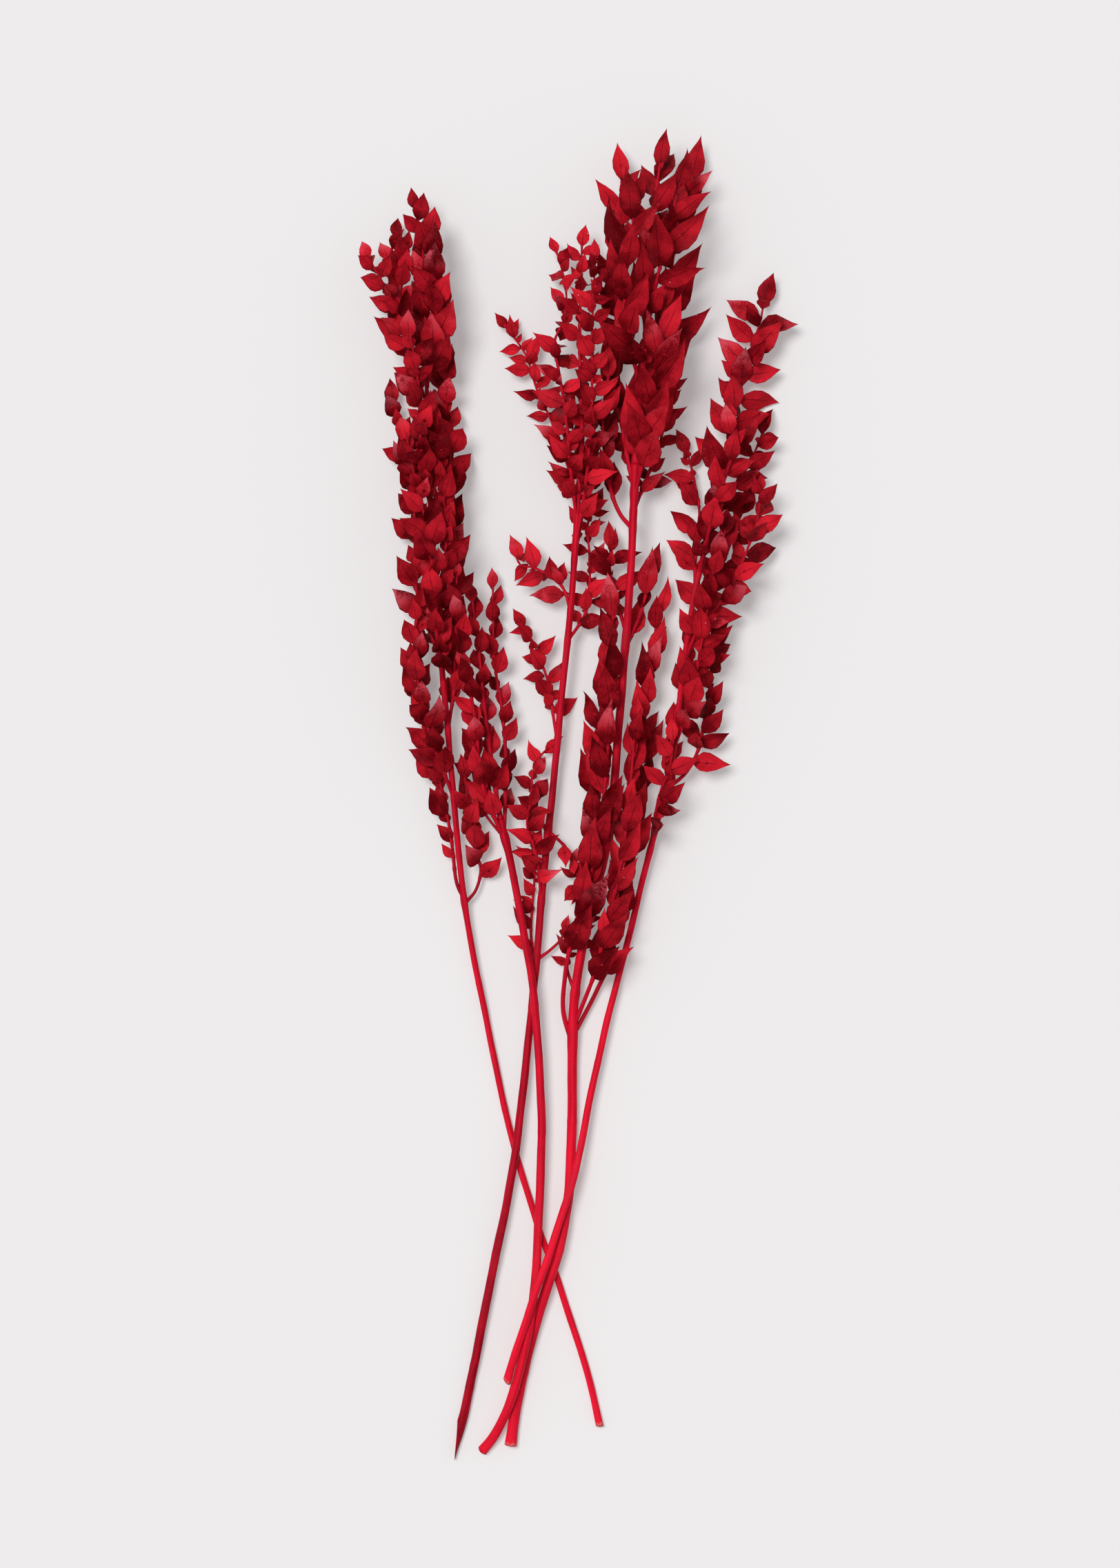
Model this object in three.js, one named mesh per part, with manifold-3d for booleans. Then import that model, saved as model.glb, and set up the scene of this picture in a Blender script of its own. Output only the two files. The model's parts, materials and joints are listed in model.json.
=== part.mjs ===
// A bunch of five cut and dried ruscus stems, lying on a flat surface with their leafy heads fanned out.
// Millimetres, +Z up. The origin is on the surface, under the middle of the bunch; +Y runs from the cut
// ends to the leafy tips. Each stem is a woody rod; each shoot is a thin twig with its leaves grown on it.
import * as THREE from "three";
import { mergeVertices } from "three/addons/utils/BufferGeometryUtils.js";
import Module from "manifold-3d";

const wasm = await Module();
wasm.setup();

// ---------------------------------------------------------------- driving dimensions
const BUNCH_LENGTH = 700; // about, from the cut ends to the top leaf
const BUNCH_WIDTH = 230; // about, across the fanned heads
const JOINT_GAP = 0.3; // between a shoot and the stem or shoot that it grows from
const LEAF_THICKNESS = 0.8; // in the middle of the blade; it thins to nothing at the edge
const LEAF_CUP = 0.22; // how far the edges stand above the midrib, as a share of the half width
const SEED = 7907; // sets how the leaves stray
const LEAN_STRAY = 0.28; // how far a leaf's angle to its twig strays, as a share of it
const SIZE_STRAY = 0.14; // how far a leaf's length strays, as a share of it
const TAPER = 0.3; // how much shorter the leaves are at a shoot's tip, as a share of their length
const TIP_LEAN = 6; // degrees between a shoot and the leaf at its tip
const TIP_SEAT = 3; // how far back from a shoot's tip that leaf is seated in the twig
const ROLL = 0.52; // most that a leaf is rolled about its own length, in radians
const BEND = 0.06; // middle droop of a leaf's tip, as a share of its length
const TWIST = 0.5; // most that a leaf's tip is twisted against its stalk, in radians
const STEM = { sides: 8, step: 24 }; // sides of a stem's tube, and the length of one straight piece
const TWIG = { sides: 4, step: 20 };

// Growing room: a leaf takes only space that nothing else fills, counted in small cubes.
const CELL = 1; // side of a cube
const ROOM_MARGIN = 50; // beyond half the bunch each way
const ROOM_REACH = [BUNCH_WIDTH, BUNCH_LENGTH].map((size) => Math.ceil(size / 2) + ROOM_MARGIN);
const ROOM = {
  low: [-ROOM_REACH[0], -ROOM_REACH[1], -4],
  size: [2 * ROOM_REACH[0], 2 * ROOM_REACH[1], 110],
};
const CLEARANCE = 0.4; // kept free above and below a blade
const SKIN = LEAF_THICKNESS / 2 + CLEARANCE; // half the thickness of the space that a leaf needs
const FLOOR = 0.5; // lowest height that the middle of a blade may reach
const LEAF_MARK = 100; // added to a twig's number where one of its leaves fills the room
const RAYS = 16; // directions in which the room round a rod is counted
const TURNS = [0, 28, -28, 56, -56, 84, -84, 112, -112, 140, -140, 180]; // degrees about the twig
const SHRINKS = [1, 0.82, 0.66]; // lengths tried in turn

// Each stem: the widest width of its leaves as a share of their length, its radii at the cut end and at
// the top, the slope of its cut, and its route from the cut end.
const STEMS = {
  left: {
    width: 0.56,
    radii: [1.8, 1.5],
    cut: 20,
    route: [
      [14.5, -333, 1.9], [8, -305, 1.9], [0, -280, 1.9], [-9, -252, 1.9], [-18, -228, 1.9],
      [-30, -188, 1.9], [-38, -155, 2.2], [-46, -115, 3.2], [-53, -80, 5], [-57, -55, 7],
      [-61, -20, 10], [-65, 30, 14], [-70, 80, 17], [-74, 130, 19],
    ],
  },
  short: {
    width: 0.56,
    radii: [2.5, 1.9],
    cut: 12,
    route: [
      [-48, -346, 2.6], [-41, -337, 4.6], [-34, -322, 8.4], [-28, -303, 9.4], [-23, -280, 9.4],
      [-20, -258, 7.8], [-18, -228, 6.8], [-16.5, -190, 7.5], [-17, -150, 9.5], [-21, -100, 11.2],
      [-26, -70, 11.5], [-32, -38, 12], [-38, -12, 12.5],
    ],
  },
  middle: {
    width: 0.56,
    radii: [2.4, 1.6],
    cut: 76,
    route: [
      [-65, -350, 2.5], [-58, -328, 2.5], [-51, -295, 3.2], [-44, -260, 4.5], [-37, -225, 5.6],
      [-30, -187, 6.6], [-26, -155, 6.6], [-22, -115, 6], [-19, -85, 6], [-16, -50, 7],
      [-12, -10, 9], [-8, 30, 11], [-4, 70, 13], [0, 110, 15], [3, 160, 17],
    ],
  },
  broad: {
    width: 0.46,
    radii: [2.9, 1.9],
    cut: 8,
    route: [
      [-33, -343, 3], [-30, -322, 3], [-26, -303, 3.1], [-20, -280, 4.4], [-13, -258, 6.6],
      [-7, -238, 7.2], [-3, -215, 6.2], [-1, -195, 5], [0, -165, 4], [0, -130, 5],
      [1, -105, 7], [5, -80, 9], [11, -55, 12], [17, -30, 14], [21, 0, 16],
      [24, 35, 17], [27, 70, 18], [30, 110, 19], [32, 150, 20], [33, 175, 20],
    ],
  },
  right: {
    width: 0.54,
    radii: [2.1, 1.3],
    cut: 40,
    route: [
      [-35, -309, 11.8], [-30, -292, 12.6], [-21, -265, 13], [-13, -243, 12.6], [-5, -218, 11.8],
      [2, -195, 10.4], [9, -160, 8], [18, -120, 6.5], [28, -80, 6.5], [36, -48, 7],
      [43, -20, 9], [48, 0, 11], [53, 25, 13], [56, 50, 15], [59, 75, 17],
      [63, 100, 18], [67, 120, 18], [73, 145, 18], [79, 168, 17],
    ],
  },
};

// Each shoot: what it grows from and the Y where it leaves it, its radii, the leaves' length and spacing,
// the bare length at its foot, the angle in degrees between leaf and twig, how far the leaves stray from
// two flat ranks in degrees, and its route.
const SHOOTS = {
  left_leader: {
    from: "left", at: 130, radii: [1.4, 0.5], leaf: 18, every: 6.5, bare: 2, lean: 33, stray: 80,
    route: [[-75, 175, 20], [-77, 230, 21], [-78, 280, 20], [-83, 312, 16]],
  },
  left_shoot_1: {
    from: "left", at: -54, radii: [1, 0.5], leaf: 18, every: 7, bare: 14, lean: 32, stray: 67,
    route: [[-61.5, -44, 8], [-64, -22, 8], [-69, 5, 9], [-76, 32, 10], [-81, 58, 12], [-80, 82, 13]],
  },
  left_shoot_2: {
    from: "left", at: -56, radii: [0.9, 0.5], leaf: 17, every: 7.5, bare: 10, lean: 44, stray: 52,
    route: [[-51, -49, 6], [-48.5, -38, 6], [-52, -26, 8], [-54, -8, 11], [-57, 12, 12]],
  },
  left_shoot_3: {
    from: "left", at: 0, radii: [1, 0.5], leaf: 18, every: 6.5, bare: 8, lean: 35, stray: 80,
    route: [[-72, 25, 20], [-79, 50, 24], [-83, 78, 25], [-80, 102, 24]],
  },
  left_shoot_4: {
    from: "left", at: 35, radii: [1, 0.5], leaf: 18, every: 7, bare: 8, lean: 32, stray: 72,
    route: [[-62, 62, 11], [-63, 90, 10], [-65, 118, 9], [-62, 142, 9]],
  },
  left_shoot_5: {
    from: "left", at: 72, radii: [1, 0.5], leaf: 18, every: 6.5, bare: 8, lean: 44, stray: 52,
    route: [[-78, 95, 13], [-83, 115, 11], [-83, 142, 9], [-86, 165, 8], [-91, 190, 7.5], [-95, 210, 7]],
  },
  left_shoot_6: {
    from: "left", at: 105, radii: [1, 0.5], leaf: 17, every: 6.5, bare: 8, lean: 35, stray: 72,
    route: [[-66, 128, 14], [-63, 155, 12], [-65, 185, 12], [-67, 212, 12], [-68, 240, 13], [-70, 268, 13]],
  },
  left_shoot_7: {
    from: "left_leader", at: 150, radii: [1, 0.5], leaf: 16, every: 6, bare: 8, lean: 44, stray: 72,
    route: [[-79, 180, 30], [-80, 208, 33], [-84, 238, 34], [-93, 257, 32], [-101, 272, 29], [-108, 284, 25]],
  },
  left_shoot_8: {
    from: "left_leader", at: 205, radii: [0.9, 0.5], leaf: 16, every: 6.5, bare: 6, lean: 44, stray: 62,
    route: [[-84, 228, 15], [-89, 245, 13], [-94, 262, 12], [-97, 278, 11], [-93, 298, 10]],
  },
  left_shoot_9: {
    from: "left_leader", at: 215, radii: [0.9, 0.5], leaf: 20, every: 6, bare: 6, lean: 32, stray: 72,
    route: [[-72, 240, 26], [-71, 262, 28], [-74, 285, 27], [-76, 302, 24]],
  },
  left_shoot_10: {
    from: "left", at: 60, radii: [1, 0.5], leaf: 18, every: 6.5, bare: 8, lean: 39, stray: 72,
    route: [[-71, 85, 27], [-72, 110, 31], [-76, 140, 32], [-82, 165, 29], [-87, 190, 25]],
  },
  left_shoot_11: {
    from: "left_leader", at: 190, radii: [0.9, 0.5], leaf: 16, every: 6.5, bare: 6, lean: 43, stray: 72,
    route: [[-81, 208, 25], [-86, 230, 24], [-90, 250, 23], [-90, 272, 22], [-87, 290, 20]],
  },
  left_shoot_12: {
    from: "left", at: 85, radii: [1, 0.5], leaf: 17, every: 6.5, bare: 8, lean: 39, stray: 72,
    route: [[-68, 108, 24], [-66, 135, 27], [-68, 160, 28], [-72, 185, 28], [-74, 205, 27]],
  },
  short_leader: {
    from: "short", at: -12, radii: [1.3, 0.5], leaf: 17, every: 9, bare: 8, lean: 30, stray: 50,
    route: [[-42, 15, 15], [-46, 45, 17], [-49, 75, 17], [-53, 105, 15]],
  },
  short_shoot_1: {
    from: "short", at: -24, radii: [1.2, 0.5], leaf: 18, every: 8, bare: 12, lean: 34, stray: 50,
    route: [[-47, 6, 20], [-51, 40, 24], [-55, 63, 26], [-59, 90, 27], [-61, 118, 26]],
  },
  short_shoot_2: {
    from: "short", at: -20, radii: [1.1, 0.5], leaf: 16, every: 9, bare: 10, lean: 34, stray: 50,
    route: [[-35, 15, 10], [-37, 45, 9], [-41, 70, 9], [-42, 95, 9], [-42, 113, 8]],
  },
  short_shoot_3: {
    from: "short", at: -22, radii: [0.8, 0.4], leaf: 15, every: 8, bare: 12, lean: 57, stray: 30,
    route: [[-46, -9, 8], [-51, 3, 7], [-54, 24, 6]],
  },
  middle_leader: {
    from: "middle", at: 160, radii: [1.5, 0.5], leaf: 15, every: 7, bare: 2, lean: 57, stray: 60,
    route: [[5, 190, 19], [4, 230, 21], [4, 265, 21], [5, 292, 18]],
  },
  middle_shoot_1: {
    from: "middle", at: 150, radii: [0.9, 0.45], leaf: 14, every: 6.5, bare: 8, lean: 57, stray: 30,
    route: [[-3, 176, 12], [-11, 198, 9], [-18, 213, 7.5], [-24, 232, 7], [-31, 243, 6.5], [-36, 250, 6]],
  },
  middle_shoot_2: {
    from: "middle", at: 145, radii: [1, 0.45], leaf: 15, every: 7, bare: 8, lean: 57, stray: 40,
    route: [
      [-1, 172, 24], [-4, 203, 27], [-7, 222, 27], [-9.5, 238, 25], [-4, 252, 22], [-4, 270, 19],
      [-9, 289, 15],
    ],
  },
  middle_shoot_3: {
    from: "middle", at: 125, radii: [0.8, 0.45], leaf: 15, every: 7, bare: 8, lean: 57, stray: 40,
    route: [[5, 147, 10], [6, 170, 8], [1, 190, 7], [-2, 208, 7]],
  },
  middle_shoot_4: {
    from: "middle", at: 82, radii: [0.9, 0.45], leaf: 14, every: 8, bare: 8, lean: 57, stray: 35,
    route: [[6, 95, 10], [9, 108, 8], [9, 127, 7], [8, 143, 6.5], [12, 156, 6]],
  },
  middle_shoot_5: {
    from: "middle", at: 98, radii: [0.9, 0.45], leaf: 15, every: 5.5, bare: 8, lean: 57, stray: 40,
    route: [[-5, 110, 13], [-13, 117, 11], [-21, 121, 10], [-27, 122, 9], [-30, 127, 8]],
  },
  middle_shoot_6: {
    from: "middle", at: 30, radii: [0.9, 0.45], leaf: 15, every: 8, bare: 8, lean: 57, stray: 30,
    route: [[-10.5, 45, 8], [-12, 58, 7], [-16, 70, 6.5], [-21, 82, 6.5], [-27, 92, 6]],
  },
  middle_shoot_7: {
    from: "middle", at: -20, radii: [0.9, 0.45], leaf: 14, every: 6.5, bare: 6, lean: 57, stray: 35,
    route: [[-18, -8, 8], [-21, 3, 8], [-21, 12, 8], [-18, 20, 7.5], [-13, 26, 6]],
  },
  middle_shoot_8: {
    from: "middle", at: -18, radii: [0.9, 0.45], leaf: 15, every: 6, bare: 6, lean: 57, stray: 40,
    route: [[-5, -25, 9], [0, -32, 9], [3, -43, 7.5], [2, -56, 6]],
  },
  middle_shoot_9: {
    from: "middle", at: -86, radii: [0.9, 0.6], leaf: 10.5, every: 2.5, bare: 17, lean: 57, stray: 80,
    route: [[-12, -81, 5], [-6, -75, 4.5], [-3.5, -68, 4.5]],
  },
  middle_shoot_10: {
    from: "middle", at: -92, radii: [0.9, 0.45], leaf: 13, every: 9, bare: 10, lean: 57, stray: 40,
    route: [[-22, -72, 3], [-21, -55, 2.5], [-20, -38, 2.6], [-22, -22, 3]],
  },
  middle_shoot_11: {
    from: "middle", at: -55, radii: [0.9, 0.45], leaf: 16, every: 6.5, bare: 8, lean: 57, stray: 50,
    route: [[-18, -38, 12], [-20, -27, 15], [-24, -15, 16], [-22, -2, 16]],
  },
  middle_shoot_12: {
    from: "middle", at: 134, radii: [1, 0.45], leaf: 15, every: 6.5, bare: 8, lean: 57, stray: 50,
    route: [[6, 158, 22], [9, 185, 29], [10, 212, 31], [10, 240, 30], [11, 265, 27], [12, 285, 24]],
  },
  broad_leader: {
    from: "broad", at: 175, radii: [1.7, 0.7], leaf: 31, every: 8, bare: 2, lean: 38, stray: 60,
    route: [[35, 205, 22], [38, 240, 25], [37, 270, 28], [41, 300, 30], [46, 332, 27]],
  },
  broad_shoot_1: {
    from: "broad", at: 160, radii: [1.2, 0.6], leaf: 27, every: 8, bare: 8, lean: 36, stray: 50,
    route: [[27, 190, 14], [24, 215, 12], [24, 245, 12], [23, 280, 14], [25, 310, 15], [26, 327, 15]],
  },
  broad_shoot_2: {
    from: "broad", at: 162, radii: [1.2, 0.6], leaf: 29, every: 8, bare: 8, lean: 40, stray: 45,
    route: [[40, 190, 15], [46, 220, 14], [50, 250, 14], [53, 285, 15], [58, 312, 14], [63, 327, 12]],
  },
  broad_shoot_3: {
    from: "broad", at: 141, radii: [1.2, 0.6], leaf: 26, every: 9, bare: 18, lean: 26, stray: 60,
    route: [[25, 149, 16], [20, 162, 15], [17, 180, 17], [16, 200, 21], [19, 222, 24]],
  },
  broad_shoot_4: {
    from: "broad", at: 150, radii: [1, 0.5], leaf: 17, every: 7, bare: 10, lean: 57, stray: 40,
    route: [[39, 168, 10], [46, 186, 8], [49, 208, 7.5], [50, 230, 7]],
  },
  broad_shoot_5: {
    from: "broad", at: 158, radii: [1.2, 0.6], leaf: 29, every: 8.5, bare: 8, lean: 36, stray: 60,
    route: [[38, 182, 29], [41, 205, 34], [45, 232, 36], [48, 258, 34]],
  },
  broad_shoot_6: {
    from: "broad", at: -131, radii: [1.3, 0.6], leaf: 29, every: 8.5, bare: 45, lean: 24, stray: 45,
    route: [
      [-5, -113, 6], [-4, -95, 9], [-1, -78, 12.5], [4, -58, 16], [10, -38, 20], [15, -12, 23],
      [18, 18, 24], [20, 48, 25], [21, 75, 24], [21, 97, 21],
    ],
  },
  broad_shoot_7: {
    from: "broad", at: -126, radii: [1.2, 0.6], leaf: 25, every: 8, bare: 36, lean: 30, stray: 45,
    route: [
      [7, -114, 4], [13, -102, 4.5], [19, -88, 6], [24, -65, 7], [29, -35, 8], [34, -5, 8],
      [37, 30, 9], [40, 60, 10], [42, 78, 10], [46, 99, 9],
    ],
  },
  broad_shoot_8: {
    from: "broad", at: -122, radii: [1.2, 0.6], leaf: 25, every: 8, bare: 28, lean: 24, stray: 55,
    route: [
      [7, -105, 11], [13, -88, 15], [18, -66, 19], [24, -42, 23], [28, -15, 25], [31, 15, 27],
      [33, 40, 27],
    ],
  },
  broad_shoot_9: {
    from: "broad", at: 78, radii: [1.1, 0.6], leaf: 28, every: 7.5, bare: 8, lean: 28, stray: 30,
    route: [[34, 92, 14], [38, 104, 12], [40, 116, 10]],
  },
  broad_shoot_10: {
    from: "broad", at: 85, radii: [1, 0.5], leaf: 19, every: 7.5, bare: 8, lean: 57, stray: 50,
    route: [[24, 101, 14], [20, 116, 12], [20, 134, 10]],
  },
  broad_shoot_11: {
    from: "broad", at: -62, radii: [1.1, 0.6], leaf: 27, every: 8.5, bare: 14, lean: 26, stray: 40,
    route: [[9, -38, 8], [11, -12, 7], [13, 15, 6], [15, 45, 6], [17, 72, 6]],
  },
  broad_shoot_12: {
    from: "broad_leader", at: 212, radii: [1.1, 0.6], leaf: 29, every: 8.5, bare: 8, lean: 38, stray: 60,
    route: [[30, 238, 34], [27, 263, 37], [30, 288, 38], [33, 312, 35]],
  },
  broad_shoot_13: {
    from: "broad", at: -104, radii: [0.9, 0.5], leaf: 13, every: 6, bare: 14, lean: 57, stray: 50,
    route: [[-3, -88, 4.5], [2, -72, 4.5], [5, -56, 5], [2, -40, 6], [-3, -28, 7]],
  },
  broad_shoot_14: {
    from: "broad_leader", at: 238, radii: [1.1, 0.6], leaf: 30, every: 8.5, bare: 8, lean: 42, stray: 60,
    route: [[44, 270, 38], [50, 294, 40], [55, 320, 36]],
  },
  right_leader: {
    from: "right", at: 168, radii: [1.2, 0.5], leaf: 23, every: 6.5, bare: 2, lean: 57, stray: 25,
    route: [[83, 190, 15], [88, 214, 12], [94, 234, 9], [99, 251, 8], [101, 262, 8]],
  },
  right_shoot_1: {
    from: "right", at: 140, radii: [1, 0.5], leaf: 19, every: 6.5, bare: 8, lean: 57, stray: 40,
    route: [[83, 158, 12], [91, 172, 9], [97, 184, 8], [101, 194, 7.5]],
  },
  right_shoot_2: {
    from: "right", at: 106, radii: [1, 0.5], leaf: 17, every: 7, bare: 8, lean: 57, stray: 35,
    route: [[65, 130, 11], [67, 150, 8], [64, 168, 7.5], [60, 184, 7]],
  },
  right_shoot_3: {
    from: "right", at: 85, radii: [1, 0.5], leaf: 20, every: 7.5, bare: 8, lean: 57, stray: 50,
    route: [[70, 103, 11], [78, 120, 9], [85, 138, 8], [90, 152, 8]],
  },
  right_shoot_4: {
    from: "right", at: 4, radii: [1.1, 0.5], leaf: 19, every: 8, bare: 16, lean: 57, stray: 45,
    route: [[59, 12, 10], [66, 24, 8], [69, 38, 8], [72, 55, 8], [74, 75, 8], [73, 92, 7.5]],
  },
  right_shoot_5: {
    from: "right", at: 25, radii: [1, 0.5], leaf: 20, every: 7, bare: 8, lean: 38, stray: 60,
    route: [[61, 48, 23], [66, 72, 27], [70, 96, 28], [74, 120, 28], [80, 140, 26]],
  },
  right_shoot_6: {
    from: "right", at: -18, radii: [1, 0.5], leaf: 20, every: 7.5, bare: 8, lean: 32, stray: 45,
    route: [[48, 3, 5.5], [52, 24, 5.5], [56, 45, 5.5], [61, 67, 6], [65, 88, 6]],
  },
  right_shoot_7: {
    from: "right", at: -28, radii: [0.9, 0.5], leaf: 18, every: 8, bare: 8, lean: 57, stray: 50,
    route: [[43, -12, 15], [46, 2, 19], [51, 16, 22], [53, 32, 23]],
  },
  right_shoot_8: {
    from: "right", at: 118, radii: [1, 0.5], leaf: 20, every: 7.5, bare: 8, lean: 34, stray: 60,
    route: [[72, 142, 30], [78, 162, 31], [84, 182, 28], [83, 200, 24]],
  },
  right_shoot_9: {
    from: "right", at: 70, radii: [1, 0.5], leaf: 20, every: 7, bare: 8, lean: 57, stray: 50,
    route: [[66, 88, 21], [80, 106, 21], [90, 126, 20], [97, 146, 18], [99, 164, 17]],
  },
};

// ---------------------------------------------------------------- shared helpers
// The routes are laid out for a bunch of this size, and stretched to the one asked for.
const LAID_OUT = { length: 700, width: 230 };
const LENGTHWISE = BUNCH_LENGTH / LAID_OUT.length;
const CROSSWISE = BUNCH_WIDTH / LAID_OUT.width;
const stretched = ([x, y, z]) => [x * CROSSWISE, y * LENGTHWISE, z];

const UP = new THREE.Vector3(0, 0, 1);

const SAMPLES = 200; // points looked at along a rod to find a place on it

// Smooth curve through a list of points.
const curveThrough = (points) =>
  new THREE.CatmullRomCurve3(points.map((p) => new THREE.Vector3(...p)), false, "catmullrom", 0.5);

// Number of straight pieces in a rod's tube.
const stepsOf = (rod) => Math.max(3, Math.round(rod.curve.getLength() / rod.step));

// The point at a share of a rod's length, on the middle line of its tube.
function axisPoint(rod, share) {
  const steps = stepsOf(rod);
  const piece = Math.min(Math.floor(share * steps), steps - 1);
  const [from, to] = [piece, piece + 1].map((k) => rod.curve.getPointAt(k / steps));
  return from.lerp(to, share * steps - piece);
}

// The point of a rod's middle line that lies at y along the bunch; rods run towards +Y.
function pointAtY(rod, y) {
  const points = Array.from({ length: SAMPLES + 1 }, (_, i) => axisPoint(rod, i / SAMPLES));
  const found = points.findIndex((p) => p.y >= y);
  const next = found < 0 ? SAMPLES : Math.max(1, found);
  const [a, b] = [points[next - 1], points[next]];
  return a.clone().lerp(b, THREE.MathUtils.clamp((y - a.y) / (b.y - a.y), 0, 1));
}

// Side, lift and tangent of a curve: three axes at right angles, with side level.
function axesAt(curve, share) {
  const tangent = curve.getTangentAt(share);
  const side = tangent.clone().cross(UP).normalize();
  return { tangent, side, lift: side.clone().cross(tangent) };
}

// A repeatable stream of numbers from 0 to 1.
function stream(seed) {
  let state = seed >>> 0;
  return () => (state = (Math.imul(state, 1664525) + 1013904223) >>> 0) / 4294967296;
}

function solidOf(geometry) {
  for (const name of Object.keys(geometry.attributes))
    if (name !== "position") geometry.deleteAttribute(name);
  const merged = mergeVertices(geometry, 1e-4);
  return new wasm.Manifold(
    new wasm.Mesh({
      numProp: 3,
      vertProperties: new Float32Array(merged.attributes.position.array),
      triVerts: new Uint32Array(merged.index.array),
    }),
  );
}

function meshOf(name, solid, material) {
  const made = solid.getMesh();
  const geometry = new THREE.BufferGeometry()
    .setAttribute("position", new THREE.BufferAttribute(made.vertProperties, 3))
    .setIndex(new THREE.BufferAttribute(made.triVerts, 1));
  geometry.computeVertexNormals();
  const mesh = new THREE.Mesh(geometry, material);
  mesh.name = name;
  return mesh;
}

// ---------------------------------------------------------------- rods: stems and twigs
// Radius of a rod, which thins evenly from its foot to its top.
const radiusAt = (rod, share) => THREE.MathUtils.lerp(rod.radii[0], rod.radii[1], share);

// A rod along its curve, with grow added to every side and to both ends.
function rodSolid(rod, grow = 0) {
  const steps = stepsOf(rod);
  const geometry = new THREE.CylinderGeometry(1, 1, 1, rod.sides, steps);
  const thicker = grow / Math.cos(Math.PI / rod.sides);
  const position = geometry.attributes.position;
  for (let i = 0; i < position.count; i++) {
    const share = THREE.MathUtils.clamp(position.getY(i) + 0.5, 0, 1);
    const { tangent, side, lift } = axesAt(rod.curve, share);
    const radius = radiusAt(rod, share) + thicker;
    const end = share === 0 ? -grow : share === 1 ? grow : 0;
    const point = rod.curve.getPointAt(share)
      .addScaledVector(side, position.getX(i) * radius)
      .addScaledVector(lift, position.getZ(i) * radius)
      .addScaledVector(tangent, end);
    position.setXYZ(i, point.x, point.y, point.z);
  }
  return solidOf(geometry);
}

// ---------------------------------------------------------------- leaves
// Half width of a leaf at a share of its length: narrow at the stalk, drawn out to a point.
const LEAF_FOOT = 1.2;
const LEAF_POINT = 1.5;
const widestShare = LEAF_FOOT / (LEAF_FOOT + LEAF_POINT);
const outline = (u) => u ** LEAF_FOOT * (1 - u) ** LEAF_POINT;
const halfWidth = (leaf, u) => ((leaf.width * leaf.length) / 2) * (outline(u) / outline(widestShare));

// A point of a leaf's middle surface: u runs from stalk to tip, v from edge to edge, -1 to 1.
function leafPoint(leaf, u, v, off = 0) {
  const y = halfWidth(leaf, u) * v;
  const twist = leaf.twist * u;
  const cup = LEAF_CUP * Math.abs(y) * Math.abs(v);
  const z = cup - leaf.bend * leaf.length * u * u + off;
  return leaf.foot.clone()
    .addScaledVector(leaf.along, leaf.length * u)
    .addScaledVector(leaf.across, y * Math.cos(twist) - z * Math.sin(twist))
    .addScaledVector(leaf.face, z * Math.cos(twist) + y * Math.sin(twist));
}

// Where a leaf would stand: turn is about the twig, lean away from it, roll about the leaf's own length.
// Its seat is the stretch of its stalk that still touches the room round its own twig.
function leafAt(rod, share, turn, lean, roll, shape) {
  const { tangent, side, lift } = axesAt(rod.curve, share);
  const along = tangent.clone().multiplyScalar(Math.cos(lean))
    .addScaledVector(side, Math.sin(lean) * Math.cos(turn))
    .addScaledVector(lift, Math.sin(lean) * Math.sin(turn));
  const face = UP.clone().addScaledVector(along, -UP.dot(along)).normalize().applyAxisAngle(along, roll);
  const seat = (radiusAt(rod, share) + SKIN + 2 * CELL) / Math.sin(lean);
  return { foot: axisPoint(rod, share), along, face, across: face.clone().cross(along), seat, ...shape };
}

// A leaf as a closed solid: a flat ball whose rim is the leaf's outline and whose poles are its faces.
const RIM = 4; // points round the outline
const RIM_SHARES = [1, 0.45, 0, 0.45]; // share of the leaf's length at each of them
function leafSolid(leaf) {
  const geometry = new THREE.SphereGeometry(1, RIM, 2);
  const position = geometry.attributes.position;
  for (let i = 0; i < position.count; i++) {
    const pole = Math.round(position.getY(i));
    const angle = Math.atan2(position.getZ(i), -position.getX(i));
    const corner = ((Math.round((angle / (2 * Math.PI)) * RIM) % RIM) + RIM) % RIM;
    const edge = corner % (RIM / 2) === 0 ? 0 : corner < RIM / 2 ? 1 : -1;
    const point = pole
      ? leafPoint(leaf, widestShare, 0, (pole * LEAF_THICKNESS) / 2)
      : leafPoint(leaf, RIM_SHARES[corner], edge);
    position.setXYZ(i, point.x, point.y, point.z);
  }
  return solidOf(geometry);
}

// ---------------------------------------------------------------- growing room
const filled = new Uint8Array(ROOM.size.reduce((a, b) => a * b));

function cellOf(point) {
  const [x, y, z] = point.toArray().map((value, i) => Math.floor((value - ROOM.low[i]) / CELL));
  return (x * ROOM.size[1] + y) * ROOM.size[2] + z;
}

function fillRod(rod) {
  const steps = Math.ceil(rod.curve.getLength() / CELL);
  for (let i = 0; i <= steps; i++) {
    const { side, lift } = axesAt(rod.curve, i / steps);
    const middle = axisPoint(rod, i / steps);
    const radius = radiusAt(rod, i / steps);
    for (let k = 0; k < RAYS; k++)
      for (const out of [0, radius / 2, radius, radius + SKIN]) {
        const angle = (2 * Math.PI * k) / RAYS;
        const point = middle.clone()
          .addScaledVector(side, out * Math.cos(angle))
          .addScaledVector(lift, out * Math.sin(angle));
        filled[cellOf(point)] = rod.id;
      }
  }
}

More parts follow.
